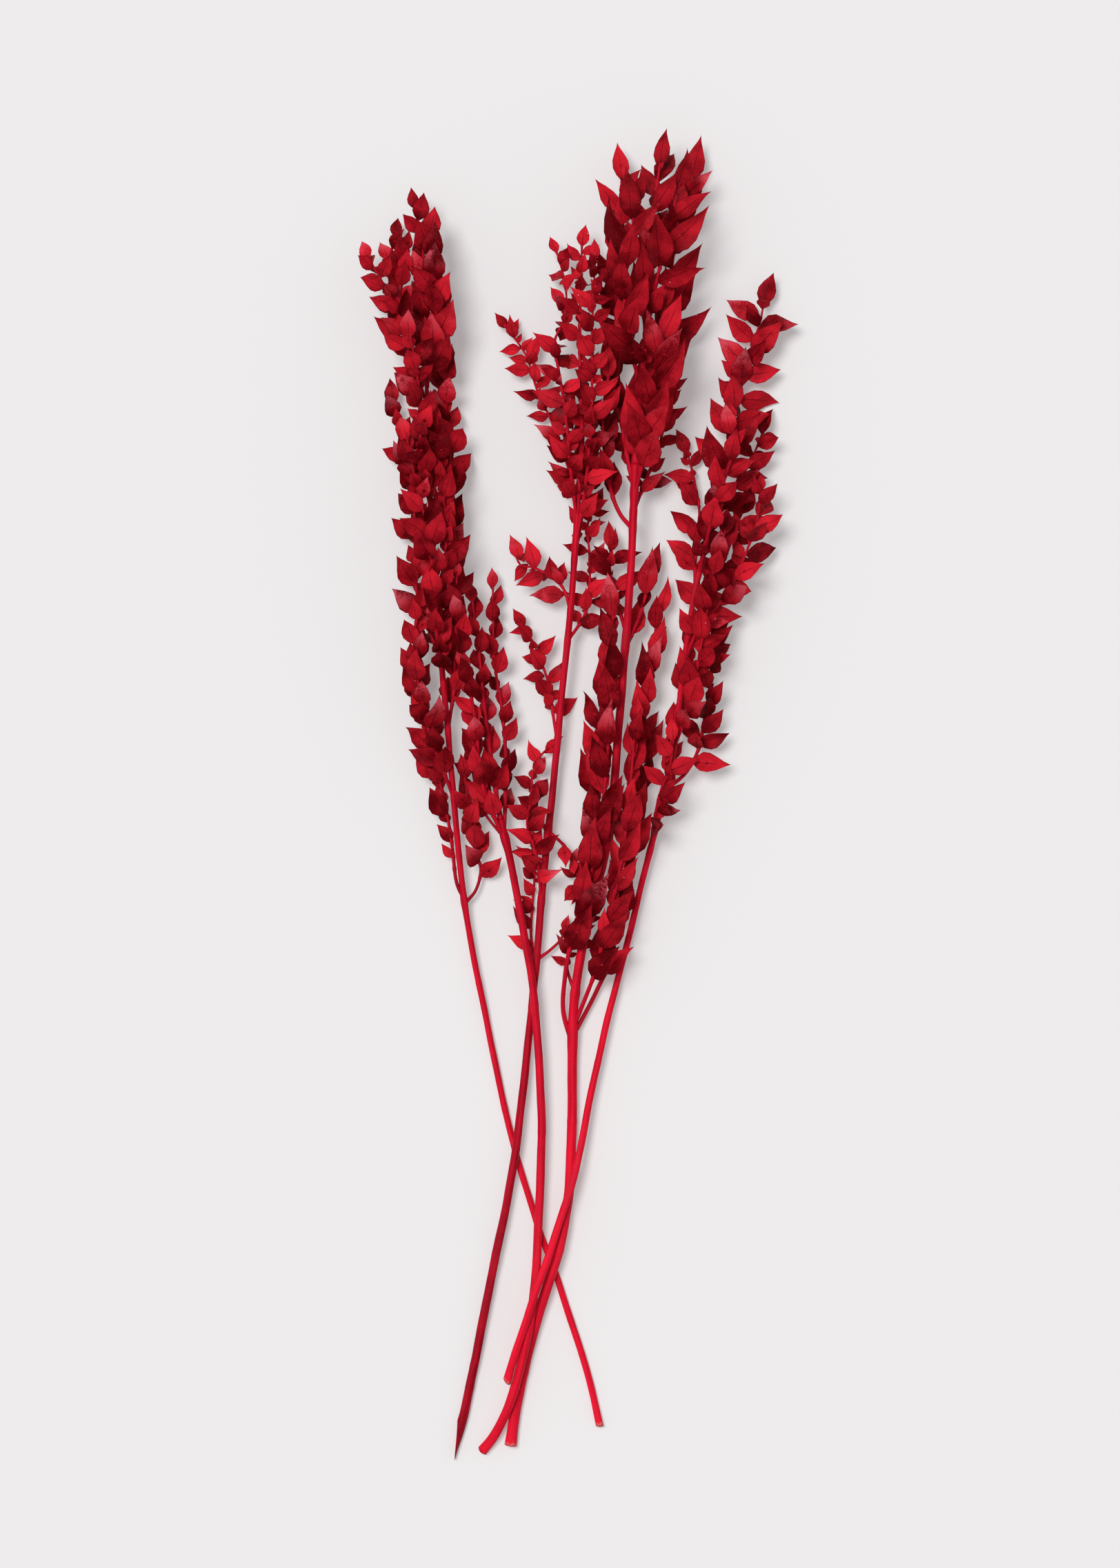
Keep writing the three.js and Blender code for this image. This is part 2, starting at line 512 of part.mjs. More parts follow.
// Calls visit(point, u) on a close grid over a leaf, at each height in offs above its middle surface.
function overLeaf(leaf, offs, visit) {
  const rows = Math.ceil(leaf.length / CELL);
  const columns = Math.ceil((leaf.length * leaf.width) / CELL);
  for (let i = 0; i <= rows; i++)
    for (let j = 0; j <= columns; j++)
      for (const off of offs)
        if (visit(leafPoint(leaf, i / rows, (2 * j) / columns - 1, off), i / rows) === false) return false;
  return true;
}

const hasRoom = (leaf, id) =>
  overLeaf(leaf, [-SKIN, 0, SKIN], (point, u) => {
    const there = filled[cellOf(point)];
    return point.z >= FLOOR && (there === 0 || (there === id && u * leaf.length < leaf.seat));
  });

const fillLeaf = (leaf, id) =>
  overLeaf(leaf, [-SKIN / 2, SKIN / 2], (point) => {
    filled[cellOf(point)] = id + LEAF_MARK;
  });

// One leaf at a share of a shoot: turned about the twig, and shortened, to the first place with room.
function growLeaf(shoot, share, rank, last, draw) {
  const [a, b, c, d, e, f] = Array.from({ length: 6 }, () => 2 * draw() - 1);
  const lean = THREE.MathUtils.degToRad(last ? TIP_LEAN : shoot.lean * (1 + LEAN_STRAY * b));
  const size = shoot.leaf * (1 - TAPER * share ** 3) * (1 + SIZE_STRAY * d);
  const shape = { width: shoot.width, bend: BEND * (1 + 2 * e), twist: TWIST * f };
  for (const shrink of SHRINKS)
    for (const more of TURNS) {
      const turn = THREE.MathUtils.degToRad(rank + shoot.stray * a + more);
      const leaf = leafAt(shoot, share, turn, lean, ROLL * c, { length: size * shrink, ...shape });
      if (hasRoom(leaf, shoot.id)) return leaf;
    }
  return null;
}

// The leaves of one shoot stand in two ranks, one on each side of the twig, up to the leaf at its tip.
function growLeaves(shoot) {
  const draw = stream(shoot.id * SEED);
  const length = shoot.curve.getLength();
  const count = Math.floor((length - TIP_SEAT - shoot.bare) / shoot.every);
  const leaves = [];
  for (let i = 0; i <= count; i++) {
    const share = 1 - (TIP_SEAT + (count - i) * shoot.every) / length;
    const leaf = growLeaf(shoot, share, i % 2 ? 180 : 0, i === count, draw);
    if (!leaf) continue;
    fillLeaf(leaf, shoot.id);
    leaves.push(leaf);
  }
  return leaves;
}

// ---------------------------------------------------------------- the bunch
const stemMaterial = new THREE.MeshStandardMaterial({ color: 0xa8101f, roughness: 0.55, metalness: 0 });
const leafMaterial = new THREE.MeshStandardMaterial({ color: 0xb0142a, roughness: 0.62, metalness: 0 });

const rods = {};
for (const [name, stem] of Object.entries(STEMS))
  rods[name] = { ...STEM, ...stem, curve: curveThrough(stem.route.map(stretched)) };
for (const [name, shoot] of Object.entries(SHOOTS)) {
  const parent = rods[shoot.from];
  const foot = pointAtY(parent, shoot.at * LENGTHWISE);
  const curve = curveThrough([foot.toArray(), ...shoot.route.map(stretched)]);
  const spaced = { every: shoot.every * LENGTHWISE, bare: shoot.bare * LENGTHWISE };
  rods[name] = { ...TWIG, ...shoot, ...spaced, curve, width: parent.width };
}
Object.values(rods).forEach((rod, i) => (rod.id = i + 1));
Object.values(rods).forEach(fillRod);

// A stem is a rod whose foot is cut off on the slant that the knife left.
function stemSolid(rod) {
  const { tangent, side } = axesAt(rod.curve, 0);
  const slope = THREE.MathUtils.degToRad(rod.cut);
  const normal = tangent.clone().multiplyScalar(Math.cos(slope)).addScaledVector(side, Math.sin(slope));
  const point = rod.curve.getPointAt(0).addScaledVector(tangent, rod.radii[0] * Math.tan(slope));
  return rodSolid(rod).trimByPlane(normal.toArray(), normal.dot(point));
}

// A shoot is its twig and leaves in one piece, cut back to the joint gap where it meets its parent.
function shootSolid(rod) {
  const whole = wasm.Manifold.union([rodSolid(rod), ...growLeaves(rod).map(leafSolid)]);
  const pieces = whole.subtract(rodSolid(rods[rod.from], JOINT_GAP)).decompose();
  return pieces.sort((a, b) => b.volume() - a.volume())[0];
}

const bunch = new THREE.Group();
for (const name of Object.keys(STEMS)) bunch.add(meshOf(`${name}_stem`, stemSolid(rods[name]), stemMaterial));
for (const name of Object.keys(SHOOTS)) bunch.add(meshOf(name, shootSolid(rods[name]), leafMaterial));

const box = new THREE.Box3().setFromObject(bunch);
const middle = box.getCenter(new THREE.Vector3());
bunch.position.set(-middle.x, -middle.y, -box.min.z);

export default bunch;
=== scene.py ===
"""A bunch of five dried, red-dyed ruscus stems, lying flat with their leafy heads fanned out.

The stems and twigs follow the same routes as the frame's, and the leaves grow on the twigs by the same
rule, so each leaf, stem and twig is a finer surface in the place of its plain solid in the frame. Smaller
leaves then fill the room left between them, and scale leaves and dried buds are added.
Routes are in millimetres, as they were laid out; everything is scaled to metres when it becomes a mesh.
"""

import json
import math

import bpy
import numpy as np
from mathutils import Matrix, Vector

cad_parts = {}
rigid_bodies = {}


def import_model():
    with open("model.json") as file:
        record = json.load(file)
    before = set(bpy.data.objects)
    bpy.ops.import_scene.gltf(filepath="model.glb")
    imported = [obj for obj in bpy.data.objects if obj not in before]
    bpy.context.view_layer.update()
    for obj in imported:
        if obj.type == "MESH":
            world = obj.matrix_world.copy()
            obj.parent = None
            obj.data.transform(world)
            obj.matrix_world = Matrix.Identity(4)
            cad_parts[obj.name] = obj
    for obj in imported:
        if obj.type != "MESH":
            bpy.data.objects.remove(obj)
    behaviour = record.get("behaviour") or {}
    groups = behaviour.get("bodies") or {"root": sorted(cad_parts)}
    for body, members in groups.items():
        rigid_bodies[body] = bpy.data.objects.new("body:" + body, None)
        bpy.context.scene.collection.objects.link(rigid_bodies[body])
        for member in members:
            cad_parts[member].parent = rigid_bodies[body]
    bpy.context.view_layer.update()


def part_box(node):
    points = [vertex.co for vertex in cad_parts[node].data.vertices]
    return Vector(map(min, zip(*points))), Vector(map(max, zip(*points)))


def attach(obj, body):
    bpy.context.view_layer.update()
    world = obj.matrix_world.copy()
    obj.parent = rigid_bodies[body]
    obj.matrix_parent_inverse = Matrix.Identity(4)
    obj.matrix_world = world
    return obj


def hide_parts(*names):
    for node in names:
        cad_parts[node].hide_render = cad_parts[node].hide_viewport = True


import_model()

MM = 0.001

# How the leaves grow, with the frame's own values.
CELL = 1
ROOM_LOW = np.array([-165, -400, -4])
ROOM_SIZE = (330, 800, 110)
LEAF_THICKNESS = 0.8
SKIN = LEAF_THICKNESS / 2 + 0.4
FLOOR = 0.5
LEAF_MARK = 100
RAYS = 16
SAMPLES = 200
TURNS = (0, 28, -28, 56, -56, 84, -84, 112, -112, 140, -140, 180)
SHRINKS = (1, 0.82, 0.66)
SEED = 7907
LEAN_STRAY = 0.28
SIZE_STRAY = 0.14
TAPER = 0.3
TIP_LEAN = 6
TIP_SEAT = 3
ROLL = 0.52
BEND = 0.06
TWIST = 0.5
LEAF_CUP = 0.22
LEAF_FOOT = 1.2
LEAF_POINT = 1.5
STEM_STEP = 24
TWIG_STEP = 20

UP = np.array([0.0, 0.0, 1.0])

# Each stem: the widest width of its leaves as a share of their length, its radii at the cut end and at
# the top, the slope of its cut in degrees, and its route from the cut end.
STEMS = {
    "left": dict(
        width=0.56,
        radii=(1.8, 1.5),
        cut=20,
        route=[
            (14.5, -333, 1.9), (8, -305, 1.9), (0, -280, 1.9), (-9, -252, 1.9), (-18, -228, 1.9),
            (-30, -188, 1.9), (-38, -155, 2.2), (-46, -115, 3.2), (-53, -80, 5), (-57, -55, 7),
            (-61, -20, 10), (-65, 30, 14), (-70, 80, 17), (-74, 130, 19),
        ],
    ),
    "short": dict(
        width=0.56,
        radii=(2.5, 1.9),
        cut=12,
        route=[
            (-48, -346, 2.6), (-41, -337, 4.6), (-34, -322, 8.4), (-28, -303, 9.4), (-23, -280, 9.4),
            (-20, -258, 7.8), (-18, -228, 6.8), (-16.5, -190, 7.5), (-17, -150, 9.5), (-21, -100, 11.2),
            (-26, -70, 11.5), (-32, -38, 12), (-38, -12, 12.5),
        ],
    ),
    "middle": dict(
        width=0.56,
        radii=(2.4, 1.6),
        cut=76,
        route=[
            (-65, -350, 2.5), (-58, -328, 2.5), (-51, -295, 3.2), (-44, -260, 4.5), (-37, -225, 5.6),
            (-30, -187, 6.6), (-26, -155, 6.6), (-22, -115, 6), (-19, -85, 6), (-16, -50, 7),
            (-12, -10, 9), (-8, 30, 11), (-4, 70, 13), (0, 110, 15), (3, 160, 17),
        ],
    ),
    "broad": dict(
        width=0.46,
        radii=(2.9, 1.9),
        cut=8,
        route=[
            (-33, -343, 3), (-30, -322, 3), (-26, -303, 3.1), (-20, -280, 4.4), (-13, -258, 6.6),
            (-7, -238, 7.2), (-3, -215, 6.2), (-1, -195, 5), (0, -165, 4), (0, -130, 5),
            (1, -105, 7), (5, -80, 9), (11, -55, 12), (17, -30, 14), (21, 0, 16),
            (24, 35, 17), (27, 70, 18), (30, 110, 19), (32, 150, 20), (33, 175, 20),
        ],
    ),
    "right": dict(
        width=0.54,
        radii=(2.1, 1.3),
        cut=40,
        route=[
            (-35, -309, 11.8), (-30, -292, 12.6), (-21, -265, 13), (-13, -243, 12.6), (-5, -218, 11.8),
            (2, -195, 10.4), (9, -160, 8), (18, -120, 6.5), (28, -80, 6.5), (36, -48, 7),
            (43, -20, 9), (48, 0, 11), (53, 25, 13), (56, 50, 15), (59, 75, 17),
            (63, 100, 18), (67, 120, 18), (73, 145, 18), (79, 168, 17),
        ],
    ),
}

# Each shoot: what it grows from and the Y where it leaves it, its radii, the leaves' length and spacing,
# the bare length at its foot, the angle in degrees between leaf and twig, how far the leaves stray from
# two flat ranks in degrees, and its route.
SHOOTS = {
    "left_leader": dict(
        parent="left", at=130, radii=(1.4, 0.5), leaf=18, every=6.5, bare=2, lean=33, stray=80,
        route=[(-75, 175, 20), (-77, 230, 21), (-78, 280, 20), (-83, 312, 16)],
    ),
    "left_shoot_1": dict(
        parent="left", at=-54, radii=(1, 0.5), leaf=18, every=7, bare=14, lean=32, stray=67,
        route=[(-61.5, -44, 8), (-64, -22, 8), (-69, 5, 9), (-76, 32, 10), (-81, 58, 12), (-80, 82, 13)],
    ),
    "left_shoot_2": dict(
        parent="left", at=-56, radii=(0.9, 0.5), leaf=17, every=7.5, bare=10, lean=44, stray=52,
        route=[(-51, -49, 6), (-48.5, -38, 6), (-52, -26, 8), (-54, -8, 11), (-57, 12, 12)],
    ),
    "left_shoot_3": dict(
        parent="left", at=0, radii=(1, 0.5), leaf=18, every=6.5, bare=8, lean=35, stray=80,
        route=[(-72, 25, 20), (-79, 50, 24), (-83, 78, 25), (-80, 102, 24)],
    ),
    "left_shoot_4": dict(
        parent="left", at=35, radii=(1, 0.5), leaf=18, every=7, bare=8, lean=32, stray=72,
        route=[(-62, 62, 11), (-63, 90, 10), (-65, 118, 9), (-62, 142, 9)],
    ),
    "left_shoot_5": dict(
        parent="left", at=72, radii=(1, 0.5), leaf=18, every=6.5, bare=8, lean=44, stray=52,
        route=[(-78, 95, 13), (-83, 115, 11), (-83, 142, 9), (-86, 165, 8), (-91, 190, 7.5), (-95, 210, 7)],
    ),
    "left_shoot_6": dict(
        parent="left", at=105, radii=(1, 0.5), leaf=17, every=6.5, bare=8, lean=35, stray=72,
        route=[
            (-66, 128, 14), (-63, 155, 12), (-65, 185, 12), (-67, 212, 12), (-68, 240, 13), (-70, 268, 13),
        ],
    ),
    "left_shoot_7": dict(
        parent="left_leader", at=150, radii=(1, 0.5), leaf=16, every=6, bare=8, lean=44, stray=72,
        route=[
            (-79, 180, 30), (-80, 208, 33), (-84, 238, 34), (-93, 257, 32), (-101, 272, 29), (-108, 284, 25),
        ],
    ),
    "left_shoot_8": dict(
        parent="left_leader", at=205, radii=(0.9, 0.5), leaf=16, every=6.5, bare=6, lean=44, stray=62,
        route=[(-84, 228, 15), (-89, 245, 13), (-94, 262, 12), (-97, 278, 11), (-93, 298, 10)],
    ),
    "left_shoot_9": dict(
        parent="left_leader", at=215, radii=(0.9, 0.5), leaf=20, every=6, bare=6, lean=32, stray=72,
        route=[(-72, 240, 26), (-71, 262, 28), (-74, 285, 27), (-76, 302, 24)],
    ),
    "left_shoot_10": dict(
        parent="left", at=60, radii=(1, 0.5), leaf=18, every=6.5, bare=8, lean=39, stray=72,
        route=[(-71, 85, 27), (-72, 110, 31), (-76, 140, 32), (-82, 165, 29), (-87, 190, 25)],
    ),
    "left_shoot_11": dict(
        parent="left_leader", at=190, radii=(0.9, 0.5), leaf=16, every=6.5, bare=6, lean=43, stray=72,
        route=[(-81, 208, 25), (-86, 230, 24), (-90, 250, 23), (-90, 272, 22), (-87, 290, 20)],
    ),
    "left_shoot_12": dict(
        parent="left", at=85, radii=(1, 0.5), leaf=17, every=6.5, bare=8, lean=39, stray=72,
        route=[(-68, 108, 24), (-66, 135, 27), (-68, 160, 28), (-72, 185, 28), (-74, 205, 27)],
    ),
    "short_leader": dict(
        parent="short", at=-12, radii=(1.3, 0.5), leaf=17, every=9, bare=8, lean=30, stray=50,
        route=[(-42, 15, 15), (-46, 45, 17), (-49, 75, 17), (-53, 105, 15)],
    ),
    "short_shoot_1": dict(
        parent="short", at=-24, radii=(1.2, 0.5), leaf=18, every=8, bare=12, lean=34, stray=50,
        route=[(-47, 6, 20), (-51, 40, 24), (-55, 63, 26), (-59, 90, 27), (-61, 118, 26)],
    ),
    "short_shoot_2": dict(
        parent="short", at=-20, radii=(1.1, 0.5), leaf=16, every=9, bare=10, lean=34, stray=50,
        route=[(-35, 15, 10), (-37, 45, 9), (-41, 70, 9), (-42, 95, 9), (-42, 113, 8)],
    ),
    "short_shoot_3": dict(
        parent="short", at=-22, radii=(0.8, 0.4), leaf=15, every=8, bare=12, lean=57, stray=30,
        route=[(-46, -9, 8), (-51, 3, 7), (-54, 24, 6)],
    ),
    "middle_leader": dict(
        parent="middle", at=160, radii=(1.5, 0.5), leaf=15, every=7, bare=2, lean=57, stray=60,
        route=[(5, 190, 19), (4, 230, 21), (4, 265, 21), (5, 292, 18)],
    ),
    "middle_shoot_1": dict(
        parent="middle", at=150, radii=(0.9, 0.45), leaf=14, every=6.5, bare=8, lean=57, stray=30,
        route=[(-3, 176, 12), (-11, 198, 9), (-18, 213, 7.5), (-24, 232, 7), (-31, 243, 6.5), (-36, 250, 6)],
    ),
    "middle_shoot_2": dict(
        parent="middle", at=145, radii=(1, 0.45), leaf=15, every=7, bare=8, lean=57, stray=40,
        route=[
            (-1, 172, 24), (-4, 203, 27), (-7, 222, 27), (-9.5, 238, 25), (-4, 252, 22), (-4, 270, 19),
            (-9, 289, 15),
        ],
    ),
    "middle_shoot_3": dict(
        parent="middle", at=125, radii=(0.8, 0.45), leaf=15, every=7, bare=8, lean=57, stray=40,
        route=[(5, 147, 10), (6, 170, 8), (1, 190, 7), (-2, 208, 7)],
    ),
    "middle_shoot_4": dict(
        parent="middle", at=82, radii=(0.9, 0.45), leaf=14, every=8, bare=8, lean=57, stray=35,
        route=[(6, 95, 10), (9, 108, 8), (9, 127, 7), (8, 143, 6.5), (12, 156, 6)],
    ),
    "middle_shoot_5": dict(
        parent="middle", at=98, radii=(0.9, 0.45), leaf=15, every=5.5, bare=8, lean=57, stray=40,
        route=[(-5, 110, 13), (-13, 117, 11), (-21, 121, 10), (-27, 122, 9), (-30, 127, 8)],
    ),
    "middle_shoot_6": dict(
        parent="middle", at=30, radii=(0.9, 0.45), leaf=15, every=8, bare=8, lean=57, stray=30,
        route=[(-10.5, 45, 8), (-12, 58, 7), (-16, 70, 6.5), (-21, 82, 6.5), (-27, 92, 6)],
    ),
    "middle_shoot_7": dict(
        parent="middle", at=-20, radii=(0.9, 0.45), leaf=14, every=6.5, bare=6, lean=57, stray=35,
        route=[(-18, -8, 8), (-21, 3, 8), (-21, 12, 8), (-18, 20, 7.5), (-13, 26, 6)],
    ),
    "middle_shoot_8": dict(
        parent="middle", at=-18, radii=(0.9, 0.45), leaf=15, every=6, bare=6, lean=57, stray=40,
        route=[(-5, -25, 9), (0, -32, 9), (3, -43, 7.5), (2, -56, 6)],
    ),
    "middle_shoot_9": dict(
        parent="middle", at=-86, radii=(0.9, 0.6), leaf=10.5, every=2.5, bare=17, lean=57, stray=80,
        route=[(-12, -81, 5), (-6, -75, 4.5), (-3.5, -68, 4.5)],
    ),
    "middle_shoot_10": dict(
        parent="middle", at=-92, radii=(0.9, 0.45), leaf=13, every=9, bare=10, lean=57, stray=40,
        route=[(-22, -72, 3), (-21, -55, 2.5), (-20, -38, 2.6), (-22, -22, 3)],
    ),
    "middle_shoot_11": dict(
        parent="middle", at=-55, radii=(0.9, 0.45), leaf=16, every=6.5, bare=8, lean=57, stray=50,
        route=[(-18, -38, 12), (-20, -27, 15), (-24, -15, 16), (-22, -2, 16)],
    ),
    "middle_shoot_12": dict(
        parent="middle", at=134, radii=(1, 0.45), leaf=15, every=6.5, bare=8, lean=57, stray=50,
        route=[(6, 158, 22), (9, 185, 29), (10, 212, 31), (10, 240, 30), (11, 265, 27), (12, 285, 24)],
    ),
    "broad_leader": dict(
        parent="broad", at=175, radii=(1.7, 0.7), leaf=31, every=8, bare=2, lean=38, stray=60,
        route=[(35, 205, 22), (38, 240, 25), (37, 270, 28), (41, 300, 30), (46, 332, 27)],
    ),
    "broad_shoot_1": dict(
        parent="broad", at=160, radii=(1.2, 0.6), leaf=27, every=8, bare=8, lean=36, stray=50,
        route=[(27, 190, 14), (24, 215, 12), (24, 245, 12), (23, 280, 14), (25, 310, 15), (26, 327, 15)],
    ),
    "broad_shoot_2": dict(
        parent="broad", at=162, radii=(1.2, 0.6), leaf=29, every=8, bare=8, lean=40, stray=45,
        route=[(40, 190, 15), (46, 220, 14), (50, 250, 14), (53, 285, 15), (58, 312, 14), (63, 327, 12)],
    ),
    "broad_shoot_3": dict(
        parent="broad", at=141, radii=(1.2, 0.6), leaf=26, every=9, bare=18, lean=26, stray=60,
        route=[(25, 149, 16), (20, 162, 15), (17, 180, 17), (16, 200, 21), (19, 222, 24)],
    ),
    "broad_shoot_4": dict(
        parent="broad", at=150, radii=(1, 0.5), leaf=17, every=7, bare=10, lean=57, stray=40,
        route=[(39, 168, 10), (46, 186, 8), (49, 208, 7.5), (50, 230, 7)],
    ),
    "broad_shoot_5": dict(
        parent="broad", at=158, radii=(1.2, 0.6), leaf=29, every=8.5, bare=8, lean=36, stray=60,
        route=[(38, 182, 29), (41, 205, 34), (45, 232, 36), (48, 258, 34)],
    ),
    "broad_shoot_6": dict(
        parent="broad", at=-131, radii=(1.3, 0.6), leaf=29, every=8.5, bare=45, lean=24, stray=45,
        route=[
            (-5, -113, 6), (-4, -95, 9), (-1, -78, 12.5), (4, -58, 16), (10, -38, 20), (15, -12, 23),
            (18, 18, 24), (20, 48, 25), (21, 75, 24), (21, 97, 21),
        ],
    ),
    "broad_shoot_7": dict(
        parent="broad", at=-126, radii=(1.2, 0.6), leaf=25, every=8, bare=36, lean=30, stray=45,
        route=[
            (7, -114, 4), (13, -102, 4.5), (19, -88, 6), (24, -65, 7), (29, -35, 8), (34, -5, 8),
            (37, 30, 9), (40, 60, 10), (42, 78, 10), (46, 99, 9),
        ],
    ),
    "broad_shoot_8": dict(
        parent="broad", at=-122, radii=(1.2, 0.6), leaf=25, every=8, bare=28, lean=24, stray=55,
        route=[
            (7, -105, 11), (13, -88, 15), (18, -66, 19), (24, -42, 23), (28, -15, 25), (31, 15, 27),
            (33, 40, 27),
        ],
    ),
    "broad_shoot_9": dict(
        parent="broad", at=78, radii=(1.1, 0.6), leaf=28, every=7.5, bare=8, lean=28, stray=30,
        route=[(34, 92, 14), (38, 104, 12), (40, 116, 10)],
    ),
    "broad_shoot_10": dict(
        parent="broad", at=85, radii=(1, 0.5), leaf=19, every=7.5, bare=8, lean=57, stray=50,
        route=[(24, 101, 14), (20, 116, 12), (20, 134, 10)],
    ),
    "broad_shoot_11": dict(
        parent="broad", at=-62, radii=(1.1, 0.6), leaf=27, every=8.5, bare=14, lean=26, stray=40,
        route=[(9, -38, 8), (11, -12, 7), (13, 15, 6), (15, 45, 6), (17, 72, 6)],
    ),
    "broad_shoot_12": dict(
        parent="broad_leader", at=212, radii=(1.1, 0.6), leaf=29, every=8.5, bare=8, lean=38, stray=60,
        route=[(30, 238, 34), (27, 263, 37), (30, 288, 38), (33, 312, 35)],
    ),
    "broad_shoot_13": dict(
        parent="broad", at=-104, radii=(0.9, 0.5), leaf=13, every=6, bare=14, lean=57, stray=50,
        route=[(-3, -88, 4.5), (2, -72, 4.5), (5, -56, 5), (2, -40, 6), (-3, -28, 7)],
    ),
    "broad_shoot_14": dict(
        parent="broad_leader", at=238, radii=(1.1, 0.6), leaf=30, every=8.5, bare=8, lean=42, stray=60,
        route=[(44, 270, 38), (50, 294, 40), (55, 320, 36)],
    ),
    "right_leader": dict(
        parent="right", at=168, radii=(1.2, 0.5), leaf=23, every=6.5, bare=2, lean=57, stray=25,
        route=[(83, 190, 15), (88, 214, 12), (94, 234, 9), (99, 251, 8), (101, 262, 8)],
    ),
    "right_shoot_1": dict(
        parent="right", at=140, radii=(1, 0.5), leaf=19, every=6.5, bare=8, lean=57, stray=40,
        route=[(83, 158, 12), (91, 172, 9), (97, 184, 8), (101, 194, 7.5)],
    ),
    "right_shoot_2": dict(
        parent="right", at=106, radii=(1, 0.5), leaf=17, every=7, bare=8, lean=57, stray=35,
        route=[(65, 130, 11), (67, 150, 8), (64, 168, 7.5), (60, 184, 7)],
    ),
    "right_shoot_3": dict(
        parent="right", at=85, radii=(1, 0.5), leaf=20, every=7.5, bare=8, lean=57, stray=50,
        route=[(70, 103, 11), (78, 120, 9), (85, 138, 8), (90, 152, 8)],
    ),
    "right_shoot_4": dict(
        parent="right", at=4, radii=(1.1, 0.5), leaf=19, every=8, bare=16, lean=57, stray=45,
        route=[(59, 12, 10), (66, 24, 8), (69, 38, 8), (72, 55, 8), (74, 75, 8), (73, 92, 7.5)],
    ),
    "right_shoot_5": dict(
        parent="right", at=25, radii=(1, 0.5), leaf=20, every=7, bare=8, lean=38, stray=60,
        route=[(61, 48, 23), (66, 72, 27), (70, 96, 28), (74, 120, 28), (80, 140, 26)],
    ),
    "right_shoot_6": dict(
        parent="right", at=-18, radii=(1, 0.5), leaf=20, every=7.5, bare=8, lean=32, stray=45,
        route=[(48, 3, 5.5), (52, 24, 5.5), (56, 45, 5.5), (61, 67, 6), (65, 88, 6)],
    ),
    "right_shoot_7": dict(
        parent="right", at=-28, radii=(0.9, 0.5), leaf=18, every=8, bare=8, lean=57, stray=50,
        route=[(43, -12, 15), (46, 2, 19), (51, 16, 22), (53, 32, 23)],
    ),
    "right_shoot_8": dict(
        parent="right", at=118, radii=(1, 0.5), leaf=20, every=7.5, bare=8, lean=34, stray=60,
        route=[(72, 142, 30), (78, 162, 31), (84, 182, 28), (83, 200, 24)],
    ),
    "right_shoot_9": dict(
        parent="right", at=70, radii=(1, 0.5), leaf=20, every=7, bare=8, lean=57, stray=50,
        route=[(66, 88, 21), (80, 106, 21), (90, 126, 20), (97, 146, 18), (99, 164, 17)],
    ),
}

# ---------------------------------------------------------------- curves and rods


class Curve:
    """A Catmull-Rom curve through points, measured along its length in 200 chords."""

    def __init__(self, points):
        self.points = np.array(points, float)
        self.places = np.linspace(0, 1, SAMPLES + 1)
        chords = np.linalg.norm(np.diff(self.at(self.places), axis=0), axis=1)
        self.lengths = np.concatenate([[0.0], np.cumsum(chords)])
        self.length = self.lengths[-1]

    def at(self, place):
        """Points at places 0 to 1: on each piece, a cubic whose end slopes are half its neighbours' span."""
        points = self.points
        last = len(points) - 1
        spot = np.clip(np.atleast_1d(place), 0, 1) * last
        piece = np.minimum(spot.astype(int), last - 1)
        w = (spot - piece)[:, None]
        ends = np.vstack([2 * points[0] - points[1], points, 2 * points[-1] - points[-2]])
        before, start, end, after = (ends[piece + k] for k in range(4))
        t0 = (end - before) / 2
        t1 = (after - start) / 2
        c2 = -3 * start + 3 * end - 2 * t0 - t1
        c3 = 2 * start - 2 * end + t0 + t1
        return start + t0 * w + c2 * w**2 + c3 * w**3

    def place(self, share):
        """Where a share of the length lies."""
        return np.interp(np.atleast_1d(share) * self.length, self.lengths, self.places)

    def point(self, share):
        return self.at(self.place(share))

    def axes(self, share):
        """Tangent, level side and lift at shares of the length, at right angles to each other."""
        place = self.place(share)
        delta = 1e-4
        tangent = self.at(np.minimum(place + delta, 1)) - self.at(np.maximum(place - delta, 0))
        tangent /= np.linalg.norm(tangent, axis=1)[:, None]
        side = np.cross(tangent, UP)
        side /= np.linalg.norm(side, axis=1)[:, None]
        return tangent, side, np.cross(side, tangent)


class Rod:
    """A stem or twig: its curve, its radii, and for a twig the leaves that it bears."""

    def __init__(self, name, number, points, step, facts):
        self.name = name
        self.number = number
        self.curve = Curve(points)
        self.radii = facts["radii"]
        self.steps = max(3, math.floor(self.curve.length / step + 0.5))
        self.facts = facts
        self.leaves = []

    def radius(self, share):
        return self.radii[0] + (self.radii[1] - self.radii[0]) * share

    def axis_point(self, share):
        """Points on the straight pieces that the frame's tube is made of."""
        share = np.atleast_1d(share)
        piece = np.minimum((share * self.steps).astype(int), self.steps - 1)
        a = self.curve.point(piece / self.steps)
        b = self.curve.point((piece + 1) / self.steps)
        return a + (b - a) * (share * self.steps - piece)[:, None]

    def point_at_y(self, y):
        points = self.axis_point(np.arange(SAMPLES + 1) / SAMPLES)
        beyond = np.nonzero(points[:, 1] >= y)[0]
        there = max(1, beyond[0]) if len(beyond) else SAMPLES
        a, b = points[there - 1], points[there]
        return a + (b - a) * min(max((y - a[1]) / (b[1] - a[1]), 0), 1)


def stem_of(rod):
    """The key of the stem that a rod is, or grows on."""
    return rod.name.split("_")[0]


# ---------------------------------------------------------------- leaves: where they grow

